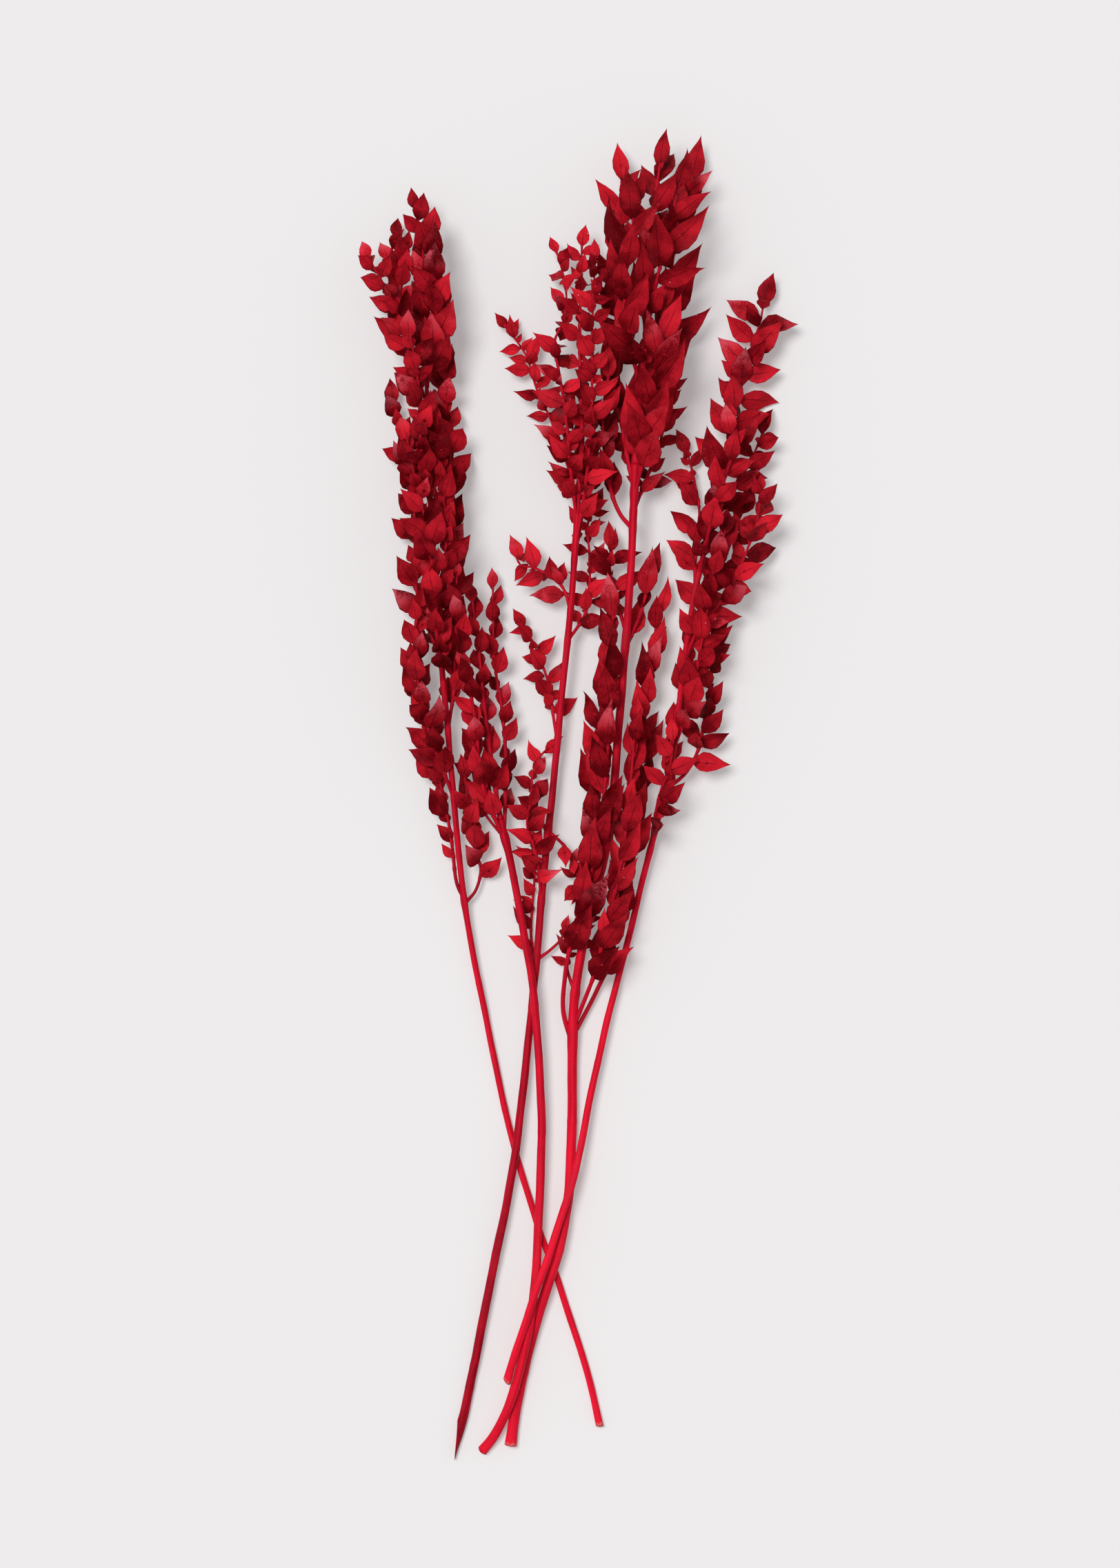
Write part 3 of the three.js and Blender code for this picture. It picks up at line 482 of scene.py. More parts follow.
# The smaller leaves of the second round: their size beside the first ones', how many go to each spacing,
# and the angles round the twig, from its side upwards, that they take in turn.
BETWEEN_SEED = 4211
BETWEEN_SIZE = 0.8
ALL_ROUND = (90, 0, -90, 180)
BETWEEN_RANKS = {**dict.fromkeys(STEMS, ALL_ROUND), "broad": (-90, 30, -90, 150)}
BETWEEN_LEAVES = {"left": 3, "short": 2, "middle": 3, "broad": 2, "right": 2}
WIDEST = LEAF_FOOT / (LEAF_FOOT + LEAF_POINT)


def outline(u):
    return u**LEAF_FOOT * (1 - u) ** LEAF_POINT


def half_width(leaf, u):
    return leaf["width"] * leaf["length"] / 2 * outline(u) / outline(WIDEST)


def leaf_points(leaf, u, y, lift):
    """Points of a leaf u along it, y across it and lift above it: the blade bends down as u squared, and
    turns about its own length in step with u."""
    twist = leaf["twist"] * u
    z = lift - leaf["bend"] * leaf["length"] * u * u
    return (
        leaf["foot"]
        + np.multiply.outer(leaf["length"] * u, leaf["along"])
        + np.multiply.outer(y * np.cos(twist) - z * np.sin(twist), leaf["across"])
        + np.multiply.outer(z * np.cos(twist) + y * np.sin(twist), leaf["face"])
    )


def cells(points):
    return tuple(np.floor(points - ROOM_LOW).astype(int).reshape(-1, 3).T)


def over_leaf(leaf, offs):
    """A close grid over a leaf at each height in offs, and each point's share of the leaf's length."""
    rows = math.ceil(leaf["length"] / CELL)
    columns = math.ceil(leaf["length"] * leaf["width"] / CELL)
    u, v, off = np.meshgrid(
        np.arange(rows + 1) / rows, 2 * np.arange(columns + 1) / columns - 1, offs, indexing="ij"
    )
    y = half_width(leaf, u) * v
    return leaf_points(leaf, u, y, LEAF_CUP * np.abs(y) * np.abs(v) + off), u


def fill_rod(filled, rod):
    steps = math.ceil(rod.curve.length / CELL)
    share = np.arange(steps + 1) / steps
    _, side, lift = rod.curve.axes(share)
    middle = rod.axis_point(share)
    radius = rod.radius(share)
    for angle in 2 * np.pi * np.arange(RAYS) / RAYS:
        for out in (0 * radius, radius / 2, radius, radius + SKIN):
            reach = side * math.cos(angle) + lift * math.sin(angle)
            filled[cells(middle + reach * out[:, None])] = rod.number


def tip_is_clear(filled, leaf):
    """A quick first look at the leaf's tip alone, which is a point of the whole leaf's grid too."""
    tip = leaf_points(leaf, 1.0, 0.0, 0.0)
    return tip[2] >= FLOOR and filled[tuple(np.floor(tip - ROOM_LOW).astype(int))] == 0


def has_room(filled, leaf, number):
    points, u = over_leaf(leaf, (-SKIN, 0, SKIN))
    if points[..., 2].min() < FLOOR:
        return False
    there = filled[cells(points)]
    seated = (there == number) & (u.ravel() * leaf["length"] < leaf["seat"])
    return bool(np.all((there == 0) | seated))


def seat_on(rod, share):
    """Where a leaf is seated on its twig: the twig's axes, its middle line and its radius there."""
    tangent, side, lift = (axis[0] for axis in rod.curve.axes(share))
    return tangent, side, lift, rod.axis_point(share)[0], rod.radius(share)


def leaf_at(seated, turn, lean, roll, shape):
    tangent, side, lift, foot, radius = seated
    along = (
        tangent * math.cos(lean)
        + side * math.sin(lean) * math.cos(turn)
        + lift * math.sin(lean) * math.sin(turn)
    )
    face = UP - along * along[2]
    face /= np.linalg.norm(face)
    face = face * math.cos(roll) + np.cross(along, face) * math.sin(roll)
    seat = (radius + SKIN + 2 * CELL) / math.sin(lean)
    across = np.cross(face, along)
    return {"foot": foot, "along": along, "face": face, "across": across, "seat": seat, **shape}


def stream(seed):
    """A repeatable stream of numbers from 0 to 1."""
    state = seed
    while True:
        state = (state * 1664525 + 1013904223) & 0xFFFFFFFF
        yield state / 4294967296


def grow_leaf(filled, rod, share, rank, last, draw):
    a, b, c, d, e, f = (2 * next(draw) - 1 for _ in range(6))
    facts = rod.facts
    lean = math.radians(TIP_LEAN if last else facts["lean"] * (1 + LEAN_STRAY * b))
    size = facts["leaf"] * (1 - TAPER * share**3) * (1 + SIZE_STRAY * d)
    shape = {"width": facts["width"], "bend": BEND * (1 + 2 * e), "twist": TWIST * f}
    seated = seat_on(rod, share)
    for shrink in SHRINKS:
        for more in TURNS:
            turn = math.radians(rank + facts["stray"] * a + more)
            leaf = leaf_at(seated, turn, lean, ROLL * c, {"length": size * shrink, **shape})
            if tip_is_clear(filled, leaf) and has_room(filled, leaf, rod.number):
                return leaf
    return None


def leaf_count(rod):
    """How many leaf spacings fit on a twig, from its bare foot to the leaf at its tip."""
    return math.floor((rod.curve.length - TIP_SEAT - rod.facts["bare"]) / rod.facts["every"])


def bear(filled, rod, leaf):
    """The twig keeps the leaf, and the leaf fills the cells that it lies in."""
    if leaf:
        points, _ = over_leaf(leaf, (-SKIN / 2, SKIN / 2))
        filled[cells(points)] = rod.number + LEAF_MARK
        rod.leaves.append(leaf)


def grow_leaves(filled, rod):
    """The leaves of one shoot, in two ranks along its twig up to the leaf at its tip."""
    draw = stream(rod.number * SEED)
    count = leaf_count(rod)
    for i in range(count + 1):
        share = 1 - (TIP_SEAT + (count - i) * rod.facts["every"]) / rod.curve.length
        bear(filled, rod, grow_leaf(filled, rod, share, 180 if i % 2 else 0, i == count, draw))


def grow_between(filled, rod):
    """Smaller leaves between the others, mostly over and under the twig, where there is still room."""
    draw = stream(rod.number * BETWEEN_SEED)
    rod.facts = {**rod.facts, "leaf": rod.facts["leaf"] * BETWEEN_SIZE}
    places = BETWEEN_LEAVES[stem_of(rod)]
    ranks = BETWEEN_RANKS[stem_of(rod)]
    for i in range(places * leaf_count(rod)):
        share = 1 - (TIP_SEAT + (i + 0.5) / places * rod.facts["every"]) / rod.curve.length
        bear(filled, rod, grow_leaf(filled, rod, share, ranks[i % len(ranks)], False, draw))


def grow_bunch():
    """Every stem and shoot by name, with its leaves grown."""
    rods = {}
    for name, facts in STEMS.items():
        rods[name] = Rod(name + "_stem", len(rods) + 1, facts["route"], STEM_STEP, facts)
    for name, facts in SHOOTS.items():
        parent = rods[facts["parent"]]
        points = [parent.point_at_y(facts["at"]), *facts["route"]]
        facts = {**facts, "width": parent.facts["width"]}
        rods[name] = Rod(name, len(rods) + 1, points, TWIG_STEP, facts)
    filled = np.zeros(ROOM_SIZE, np.uint8)
    for rod in rods.values():
        fill_rod(filled, rod)
    for name in SHOOTS:
        grow_leaves(filled, rods[name])
    for name in SHOOTS:
        grow_between(filled, rods[name])
    return rods


# ---------------------------------------------------------------- meshes
rods = grow_bunch()
STEM_SIDES = 8


def frame_rings(rod, sides):
    """The corners of the frame's plain tube: a ring of so many sides at the ends of each straight piece."""
    share = np.arange(rod.steps + 1) / rod.steps
    _, side, lift = rod.curve.axes(share)
    angle = (2 * np.pi * np.arange(sides) / sides)[None, :, None]
    reach = side[:, None] * np.sin(angle) + lift[:, None] * np.cos(angle)
    return rod.curve.point(share)[:, None] + reach * rod.radius(share)[:, None, None]


def origin_shift():
    """How far the frame stands from the routes' own origin, from the highest corners of two stems."""
    top = np.array([np.array(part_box(f"{name}_stem")[1]) / MM for name in STEMS])
    mine = np.array([frame_rings(rods[name], STEM_SIDES).reshape(-1, 3).max(0) for name in STEMS])
    return np.median(top - mine, axis=0)


SHIFT = origin_shift()


def put_together(parts):
    """Several parts as one, each part's faces counted on from the points before it."""
    starts = np.cumsum([0] + [len(part["points"]) for part in parts[:-1]])
    return {
        "points": np.concatenate([part["points"] for part in parts]),
        "faces": [group + start for part, start in zip(parts, starts) for group in part["faces"]],
        "marks": {key: np.concatenate([part["marks"][key] for part in parts]) for key in parts[0]["marks"]},
        "uv": np.concatenate([part["uv"] for part in parts]),
        "rim": np.concatenate([part["rim"] for part in parts]),
    }


def tube_faces(rings, around, copies=1):
    """Faces of closed tubes whose points are their rings in order, then a pole at each end.

    Four corners join neighbouring points on neighbouring rings; a fan of triangles joins each end's ring
    to its pole. The rings turn from side to lift, so the faces point outwards."""
    ring, spot = np.meshgrid(np.arange(rings - 1), np.arange(around), indexing="ij")
    here = ring * around + spot
    beside = ring * around + (spot + 1) % around
    quads = np.stack([here, here + around, beside + around, beside], -1).reshape(-1, 4)
    spot = np.arange(around)
    after = (spot + 1) % around
    first_pole = np.full(around, rings * around)
    last = (rings - 1) * around
    foot = np.stack([first_pole, spot, after], -1)
    tip = np.stack([first_pole + 1, last + after, last + spot], -1)
    start = (np.arange(copies) * (rings * around + 2))[:, None, None]
    return [(group + start).reshape(-1, group.shape[1]) for group in (quads, np.vstack([foot, tip]))]


def make_piece(name, node, part, material):
    """A mesh object that rides on the bunch and stands for a node, from a part in millimetres."""
    points = (part["points"] + SHIFT).astype(np.float32)
    points[:, 2] = np.maximum(points[:, 2], LOWEST)
    mesh = bpy.data.meshes.new(name)
    mesh.from_pydata(points * MM, [], [face for group in part["faces"] for face in group.tolist()])
    mesh.shade_smooth()
    for key, values in part["marks"].items():
        mesh.attributes.new(key, "FLOAT", "POINT").data.foreach_set("value", values.astype(np.float32))
    corners = np.empty(len(mesh.loops), int)
    mesh.loops.foreach_get("vertex_index", corners)
    layer = mesh.uv_layers.new(name="along_and_across")
    layer.uv.foreach_set("vector", part["uv"][corners].astype(np.float32).ravel())
    if part["rim"].any():
        ends = np.empty(2 * len(mesh.edges), int)
        mesh.edges.foreach_get("vertices", ends)
        sharp = part["rim"][ends].reshape(-1, 2).all(1)
        mesh.edges.foreach_set("use_edge_sharp", sharp)
    mesh.materials.append(material)
    made = bpy.data.objects.new(name, mesh)
    bpy.context.scene.collection.objects.link(made)
    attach(made, "root")
    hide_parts(node)


# ---------------------------------------------------------------- leaves: their shape
LOWEST = 0.02
LEAF_SPANS = 8
ACROSS = np.array([-1, -0.5, 0, 0.5, 1, 0.5, 0, -0.5])
LAYER = np.array([0, 1, 0.3, 1, 0, -1, -1.7, -1])
BLADE_THICKNESS = 0.3
STALK_RADIUS = 0.45
STALK_SHARE = 0.06
BLADE_FOOT = 0.95
# How far each leaf strays at most in its sideways sway, the fold at its midrib, the curl of its tip, the
# waves of its edge, the place of those waves, and its colour.
LEAF_STRAYS = (0.09, 0.5, 0.4, 0.22, 1, 1)
CURL_FROM = 0.55
WAVES = 1.3


def stack(leaves, key):
    return np.array([leaf[key] for leaf in leaves], float)


def blade_width(u, length, width, point):
    """Half width along a leaf: a narrow stalk, then a blade s**foot * (1 - s)**point, widest at 1."""
    s = np.clip((u - STALK_SHARE / 2) / (1 - STALK_SHARE / 2), 0, 1)
    peak = BLADE_FOOT / (BLADE_FOOT + point)
    shape = s**BLADE_FOOT * (1 - s) ** point / (peak**BLADE_FOOT * (1 - peak) ** point)
    stalk = STALK_RADIUS * (1 - smooth(u, STALK_SHARE, 3 * STALK_SHARE))
    return stalk + width * length / 2 * shape


def smooth(value, low, high):
    """0 below low, 1 above high, and 3t**2 - 2t**3 between."""
    t = np.clip((value - low) / (high - low), 0, 1)
    return t * t * (3 - 2 * t)


def on_leaves(leaves, x, y, z, u):
    """Points x along, y across and z above each leaf, turned about the leaf's length by its twist times u.

    The first axis of x, y and z is the leaf."""
    each = (slice(None),) + (None,) * (y.ndim - 1)
    foot, along, across, face, twist = (
        stack(leaves, key)[each] for key in ("foot", "along", "across", "face", "twist")
    )
    turn = twist * u
    turned_y = y * np.cos(turn) - z * np.sin(turn)
    turned_z = z * np.cos(turn) + y * np.sin(turn)
    return foot + along * x[..., None] + across * turned_y[..., None] + face * turned_z[..., None]


def leaf_shells(leaves, look, rng):
    """Every leaf of a shoot as a thin closed shell of its own.

    u runs from stalk to tip in rings spaced as (1 - cos) / 2, and each ring goes over the upper face and
    back under the lower one. The blade bends down as u**2, sways sideways as u**2, folds at its midrib
    in step with |y|, cups as y * v, curls at its tip, and its edges wave as a sine of u."""
    count = len(leaves)
    u = ((1 - np.cos(np.pi * np.arange(LEAF_SPANS + 1) / LEAF_SPANS)) / 2)[None, :, None]
    v = ACROSS[None, None, :]
    length, width, bend = (stack(leaves, key)[:, None, None] for key in ("length", "width", "bend"))
    length = length * look["long"]
    strays = rng.uniform(-1, 1, (6, count)) * np.array(LEAF_STRAYS)[:, None]
    sway, fold, curl, wave, phase, fresh = strays[:, :, None, None]
    half = blade_width(u, length, width * look["wide"], look["point"])
    y = half * v
    curled = curl * length * smooth(u, CURL_FROM, 1.0) * (u - CURL_FROM)
    waved = wave * half * v**2 * np.sin(2 * np.pi * (WAVES * u + phase)) * u
    thick = BLADE_THICKNESS / 2 + (STALK_RADIUS - BLADE_THICKNESS / 2) * (1 - smooth(u, 0.03, 0.14))
    layer = LAYER[None, None, :] * thick * (1 - 0.6 * smooth(u, 0.7, 1.0))
    z = LEAF_CUP * np.abs(y * v) + fold * np.abs(y) - bend * length * u**2 + curled + waved + layer
    grid = on_leaves(leaves, length * u, y + sway * length * u**2, z, u)
    poles = grid[:, [0, -1]].mean(2)
    rings = LEAF_SPANS - 1
    around = len(ACROSS)
    per = rings * around + 2
    along_uv = np.concatenate([np.repeat(u[0, 1:-1, 0], around), [0, 1]])
    across_uv = np.concatenate([np.tile((ACROSS + 1) / 2, rings), [0.5, 0.5]])
    under = np.concatenate([np.tile(LAYER < 0, rings), [0, 0]])
    rim = np.concatenate([np.tile(np.abs(ACROSS) == 1, rings), [True, True]])
    return {
        "points": np.concatenate([grid[:, 1:-1].reshape(count, -1, 3), poles], 1).reshape(-1, 3),
        "faces": tube_faces(rings, around, count),
        "marks": {
            "tone": np.repeat(look["tone"] + look["spread"] * fresh[:, 0, 0], per),
            "under": np.tile(under, count).astype(float),
            "chance": np.repeat(rng.random(count), per),
        },
        "uv": np.tile(np.stack([along_uv, across_uv], 1), (count, 1)),
        "rim": np.tile(rim, count),
    }


# ---------------------------------------------------------------- buds and scale leaves
BUD_RINGS = 5
BUD_AROUND = 7
BUD_RADIUS = 0.75
BUD_PLACE = 0.42
BUD_EVERY = 6
BUD_SIZES = (0.7, 1.2)
BUD_RUFFLE = 0.12
BUD_POLES = (-0.5, 0.05)
BUD_SPREAD = 0.3
BUD_UV = (0.3, 0.62)
SCALE_LEAF = {"width": 0.42, "bend": -0.15, "twist": 0.0}
SCALE_LENGTHS = (3, 4.6)
SCALE_BELOW = 0.004
# The least and the most that a scale leaf is turned round its twig, leant away from it and rolled.
LEAST_TURNED = (0, 0.25, -0.4)
MOST_TURNED = (2 * np.pi, 0.6, 0.4)


def bud_shells(leaves, look, rng):
    """The dried buds that some leaves bear on their midrib, each a low closed dome with a dimple on top.

    A dome's rings lie at shares t of the way up: a ring's radius is r * sin(pi * t)**0.6, ruffled as the
    cosine of 3 angle, and its height r * (t - 0.5). The dimple is the pole, sunk to 0.05 * r."""
    bearing = leaves[::BUD_EVERY]
    count = len(bearing)
    per = BUD_RINGS * BUD_AROUND + 2
    t = (np.arange(1, BUD_RINGS + 1) / (BUD_RINGS + 1))[None, :, None]
    angle = (-2 * np.pi * np.arange(BUD_AROUND) / BUD_AROUND)[None, None, :]
    size = BUD_RADIUS * rng.uniform(*BUD_SIZES, (count, 1, 1))
    out = size * np.sin(np.pi * t) ** 0.6 * (1 + BUD_RUFFLE * np.cos(3 * angle))
    up = size * (t - 0.5) * np.ones_like(angle)
    centre = np.zeros((count, 2))
    length, bend = (stack(bearing, key)[:, None] for key in ("length", "bend"))
    x = np.concatenate([(out * np.cos(angle)).reshape(count, -1), centre], 1)
    y = np.concatenate([(out * np.sin(angle)).reshape(count, -1), centre], 1)
    z = np.concatenate([up.reshape(count, -1), size[:, 0] * BUD_POLES], 1)
    z += BLADE_THICKNESS - bend * length * BUD_PLACE**2
    return {
        "points": on_leaves(bearing, x + length * BUD_PLACE, y, z, BUD_PLACE).reshape(-1, 3),
        "faces": tube_faces(BUD_RINGS, BUD_AROUND, count),
        "marks": {
            "tone": np.repeat(look["tone"] + rng.uniform(-BUD_SPREAD, BUD_SPREAD, count), per),
            "under": np.zeros(count * per),
            "chance": np.zeros(count * per),
        },
        "uv": np.tile(BUD_UV, (count * per, 1)),
        "rim": np.zeros(count * per, bool),
    }


def scale_leaves(rod, nodes, rng):
    """Small scale leaves that clasp the twig just below the given places along it."""
    grown = []
    for at in nodes:
        seated = seat_on(rod, np.clip(at / rod.curve.length - SCALE_BELOW, 0, 1))
        turn, lean, roll = rng.uniform(LEAST_TURNED, MOST_TURNED)
        shape = {"length": rng.uniform(*SCALE_LENGTHS), **SCALE_LEAF}
        grown.append(leaf_at(seated, turn, lean, roll, shape))
    return grown


# ---------------------------------------------------------------- stems and twigs: their shape
STEM_RING = 2.2
TWIG_RING = 1.6
STEM_AROUND = 14
TWIG_AROUND = 8
# Wavelengths of the slow changes along a stem or twig: of its thickness, its turning and its sway.
THICKNESS_WAVES = (13, 29, 47)
TURNING_WAVES = (160, 290)
SWAY_WAVES = (37, 71, 120)
THICKNESS_CHANGE = 0.03
TURNING_CHANGE = 1.2
STEADY_ENDS = 20
# The cut: the inner rings' share of the radius, how far each lies inside, the same for the middle, and
# how soon the pale colour fades along the stem.
CUT_SHARES = np.array([[0.45], [0.97]])
CUT_DIPS = np.array([[0.5], [0.1]])
MIDDLE_DIP = 0.6
CUT_FADES = 2.2


def wander(s, rng, waves, reach):
    """A smooth wandering of size reach along s: the mean of sines of the wavelengths in waves."""
    phases = rng.uniform(0, 2 * np.pi, len(waves))
    total = sum(np.sin(2 * np.pi * s / wave + phase) for wave, phase in zip(waves, phases))
    return reach * total / len(waves)


def rod_radius(rod, s, swells, look, rng):
    """The radius at s: it falls evenly, wanders, swells as exp(-(ds / w)**2) and flares as exp(-s / w)."""
    swell = sum(size * np.exp(-(((s - at) / reach) ** 2)) for at, size, reach in swells)
    wandering = wander(s, rng, THICKNESS_WAVES, THICKNESS_CHANGE)
    flare = look["flare"] * np.exp(-s / look["flare_reach"])
    return rod.radius(s / rod.curve.length) * (1 + swell + wandering) * (1 + flare)


def rod_shell(rod, ring_step, around, swells, look, rng, cut=None):
    """A stem or twig as a closed tube along its curve.

    Its section is ridged as 1 + a * cos(3 angle) + b * cos(7 angle). A cut foot is sheared to the slope
    of the knife, the shear fading as exp(-s), and closed by a slightly hollow face."""
    length = rod.curve.length
    rings = max(6, math.ceil(length / ring_step))
    s = length * np.arange(rings + 1) / rings
    angle = 2 * np.pi * np.arange(around) / around
    radius = rod_radius(rod, s, swells, look, rng)
    turn = wander(s, rng, TURNING_WAVES, TURNING_CHANGE)[:, None]
    ridge = 1 + look["ridge"] * np.cos(3 * (angle + turn)) + look["grain"] * np.cos(7 * (angle - turn))
    along = np.repeat(s[:, None], around, 1)
    scale = radius[:, None] * ridge
    pale = np.zeros(rings + 1)
    foot = 0.0
    if cut is not None:
        slant = radius[0] * math.tan(math.radians(cut))
        facing = np.cos(angle - math.radians(look["cut_faces"]))
        sheared = along + slant * (1 - facing) * np.exp(-s / (6 * slant + 1))[:, None]
        along = np.vstack([slant * (1 - CUT_SHARES * facing) + CUT_DIPS, sheared])
        scale = np.vstack([CUT_SHARES * scale[0], scale])
        pale = look["cut_pale"] * np.concatenate([[1.0, 1.0], np.exp(-s / CUT_FADES)])
        foot = slant + MIDDLE_DIP
        s = np.concatenate([[0.0, 0.0], s])
    along, scale, round_it = along.ravel(), scale.ravel(), np.tile(angle, len(s))
    _, side, lift = rod.curve.axes(np.clip(along / length, 0, 1))
    sway = wander(along, rng, SWAY_WAVES, look["wobble"])
    sway *= smooth(along, 0, STEADY_ENDS) * smooth(length - along, 0, STEADY_ENDS)
    points = (
        rod.curve.point(np.clip(along / length, 0, 1))
        + side * (sway + scale * np.cos(round_it))[:, None]
        + lift * (scale * np.sin(round_it))[:, None]
    )
    height = np.concatenate([np.repeat(s / length, around), [0, 1]])
    u = np.concatenate([round_it / (2 * np.pi), [0.5, 0.5]])
    return {
        "points": np.vstack([points, rod.curve.point([foot / length]), rod.curve.point([1.0])]),
        "faces": tube_faces(len(s), around),
        "marks": {
            "cut": np.concatenate([np.repeat(pale, around), [float(cut is not None), 0.0]]),
            "tone": look["foot_tone"] + (look["top_tone"] - look["foot_tone"]) * height,
        },
        "uv": np.stack([u, height * length / 100], 1),
        "rim": np.zeros(len(points) + 2, bool),
    }


# ---------------------------------------------------------------- finishes


class Board:
    """A node tree to wire up: add a node with values on its inputs, and get its outputs back."""

    def __init__(self, tree):
        self.tree = tree

    def give(self, socket, value):
        """The socket takes a link, where the value is another node's output, or else the value itself."""
        if isinstance(value, bpy.types.NodeSocket):
            self.tree.links.new(value, socket)
        else:
            socket.default_value = value

    def add(self, kind, inputs=None, **settings):
        node = self.tree.nodes.new("ShaderNode" + kind)
        for key, value in settings.items():
            setattr(node, key, value)
        for key, value in (inputs or {}).items():
            self.give(node.inputs[key], value)
        return node

    def maths(self, operation, *values):
        return self.add("Math", dict(enumerate(values)), operation=operation).outputs[0]

    def times(self, first, second):
        return self.maths("MULTIPLY", first, second)

    def ramp(self, value, low, high, start=0.0, end=1.0):
        """value mapped smoothly from low..high to start..end."""
        inputs = {"Value": value, "From Min": low, "From Max": high, "To Min": start, "To Max": end}
        return self.add("MapRange", inputs, interpolation_type="SMOOTHSTEP").outputs["Result"]

    def uneven(self, value, reach):
        """value, from 0 to 1, as a change of up to half of reach either way."""
        return self.times(self.maths("SUBTRACT", value, 0.5), reach)

    def mix(self, share, first, second):
        """The first colour, with a share of the second in it."""
        return self.add("Mix", {0: share, 6: first, 7: second}, data_type="RGBA").outputs[2]

    def mark(self, name):
        """A value that the mesh carries at its points."""
        return self.add("Attribute", attribute_name=name).outputs["Fac"]


def group(name, inputs, outputs):
    """An empty node group with its board and its two rows of named sockets.

    inputs gives each input's first value, or None for a vector."""
    tree = bpy.data.node_groups.new(name, "ShaderNodeTree")
    for label, value in inputs.items():
        kind = "NodeSocketVector" if value is None else "NodeSocketFloat"
        socket = tree.interface.new_socket(label, in_out="INPUT", socket_type=kind)
        if value is not None:
            socket.default_value = value
    for label in outputs:
        tree.interface.new_socket(label, in_out="OUTPUT", socket_type="NodeSocketFloat")
    board = Board(tree)
    given = tree.nodes.new("NodeGroupInput").outputs
    return tree, board, given, tree.nodes.new("NodeGroupOutput").inputs


def mottling_group():
    """Uneven dye: broad clouds and fine freckles over each other, as one value and as a height."""
    tree, board, given, out = group(
        "mottling",
        {"Vector": None, "Cloud Scale": 90.0, "Freckle Scale": 900.0},
        ("Value", "Fine"),
    )
    where = given["Vector"]
    cloud = board.add("TexNoise", {"Vector": where, "Scale": given["Cloud Scale"], "Detail": 3.0})
    freckle = board.add("TexNoise", {"Vector": where, "Scale": given["Freckle Scale"], "Detail": 2.0})
    broad = board.ramp(cloud.outputs["Fac"], 0.3, 0.7)
    fine = board.ramp(freckle.outputs["Fac"], 0.3, 0.7)
    board.give(out["Value"], board.maths("MULTIPLY_ADD", broad, 0.7, board.times(fine, 0.3)))
    board.give(out["Fine"], fine)
    return tree


def specks_group():
    """Small stray specks: the middles of a few of the cells of a Voronoi pattern."""
    tree, board, given, out = group(
        "specks",
        {"Vector": None, "Scale": 200.0, "Size": 0.06, "Rarity": 0.8},
        ("Mask",),
    )
    cell = board.add("TexVoronoi", {"Vector": given["Vector"], "Scale": given["Scale"]})
    dot = board.maths("LESS_THAN", cell.outputs["Distance"], given["Size"])
    pick = board.add("SeparateColor", {"Color": cell.outputs["Color"]}).outputs[0]
    chosen = board.maths("GREATER_THAN", pick, given["Rarity"])
    board.give(out["Mask"], board.times(dot, chosen))
    return tree


MOTTLING = mottling_group()
SPECKS = specks_group()


def use_group(board, tree, inputs):
    return board.add("Group", inputs, node_tree=tree).outputs


def new_material(name, constants):
    """A material with its shader and board; constants are set on the shader's own sockets."""
    material = bpy.data.materials.new(name)
    material.use_nodes = True
    shader = material.node_tree.nodes["Principled BSDF"]
    for key, value in constants.items():
        shader.inputs[key].default_value = value
    return material, Board(material.node_tree), shader


UNEVEN = 0.6
VEINS = 34.0
VEIN_WIGGLE = 1.4
STREAKS = (9.0, 3.0, 1.0)
LEAF_MOTTLING = {"Cloud Scale": 110.0, "Freckle Scale": 1300.0}
STEM_MOTTLING = {"Cloud Scale": 60.0, "Freckle Scale": 1500.0}
LEAF_SPECKS = {"Scale": 210.0, "Size": 0.055, "Rarity": 0.86}
STEM_SPECKS = {"Scale": 320.0, "Size": 0.09, "Rarity": 0.8}
LEAF_DEEP = (0.115, 0.0002, 0.0025, 1)
LEAF_BRIGHT = (0.72, 0.014, 0.030, 1)
# a pinkish pale: partly faded dye, partly painted sheen on the leaf tips
LEAF_SHEEN_AND_FADED = (0.72, 0.11, 0.15, 1)
LEAF_EDGE = (0.05, 0.0004, 0.002, 1)
SPECK = (0.80, 0.40, 0.38, 1)
STEM_DEEP = (0.22, 0.0008, 0.008, 1)
STEM_BRIGHT = (0.80, 0.006, 0.03, 1)
CUT_PALE = (0.78, 0.26, 0.24, 1)


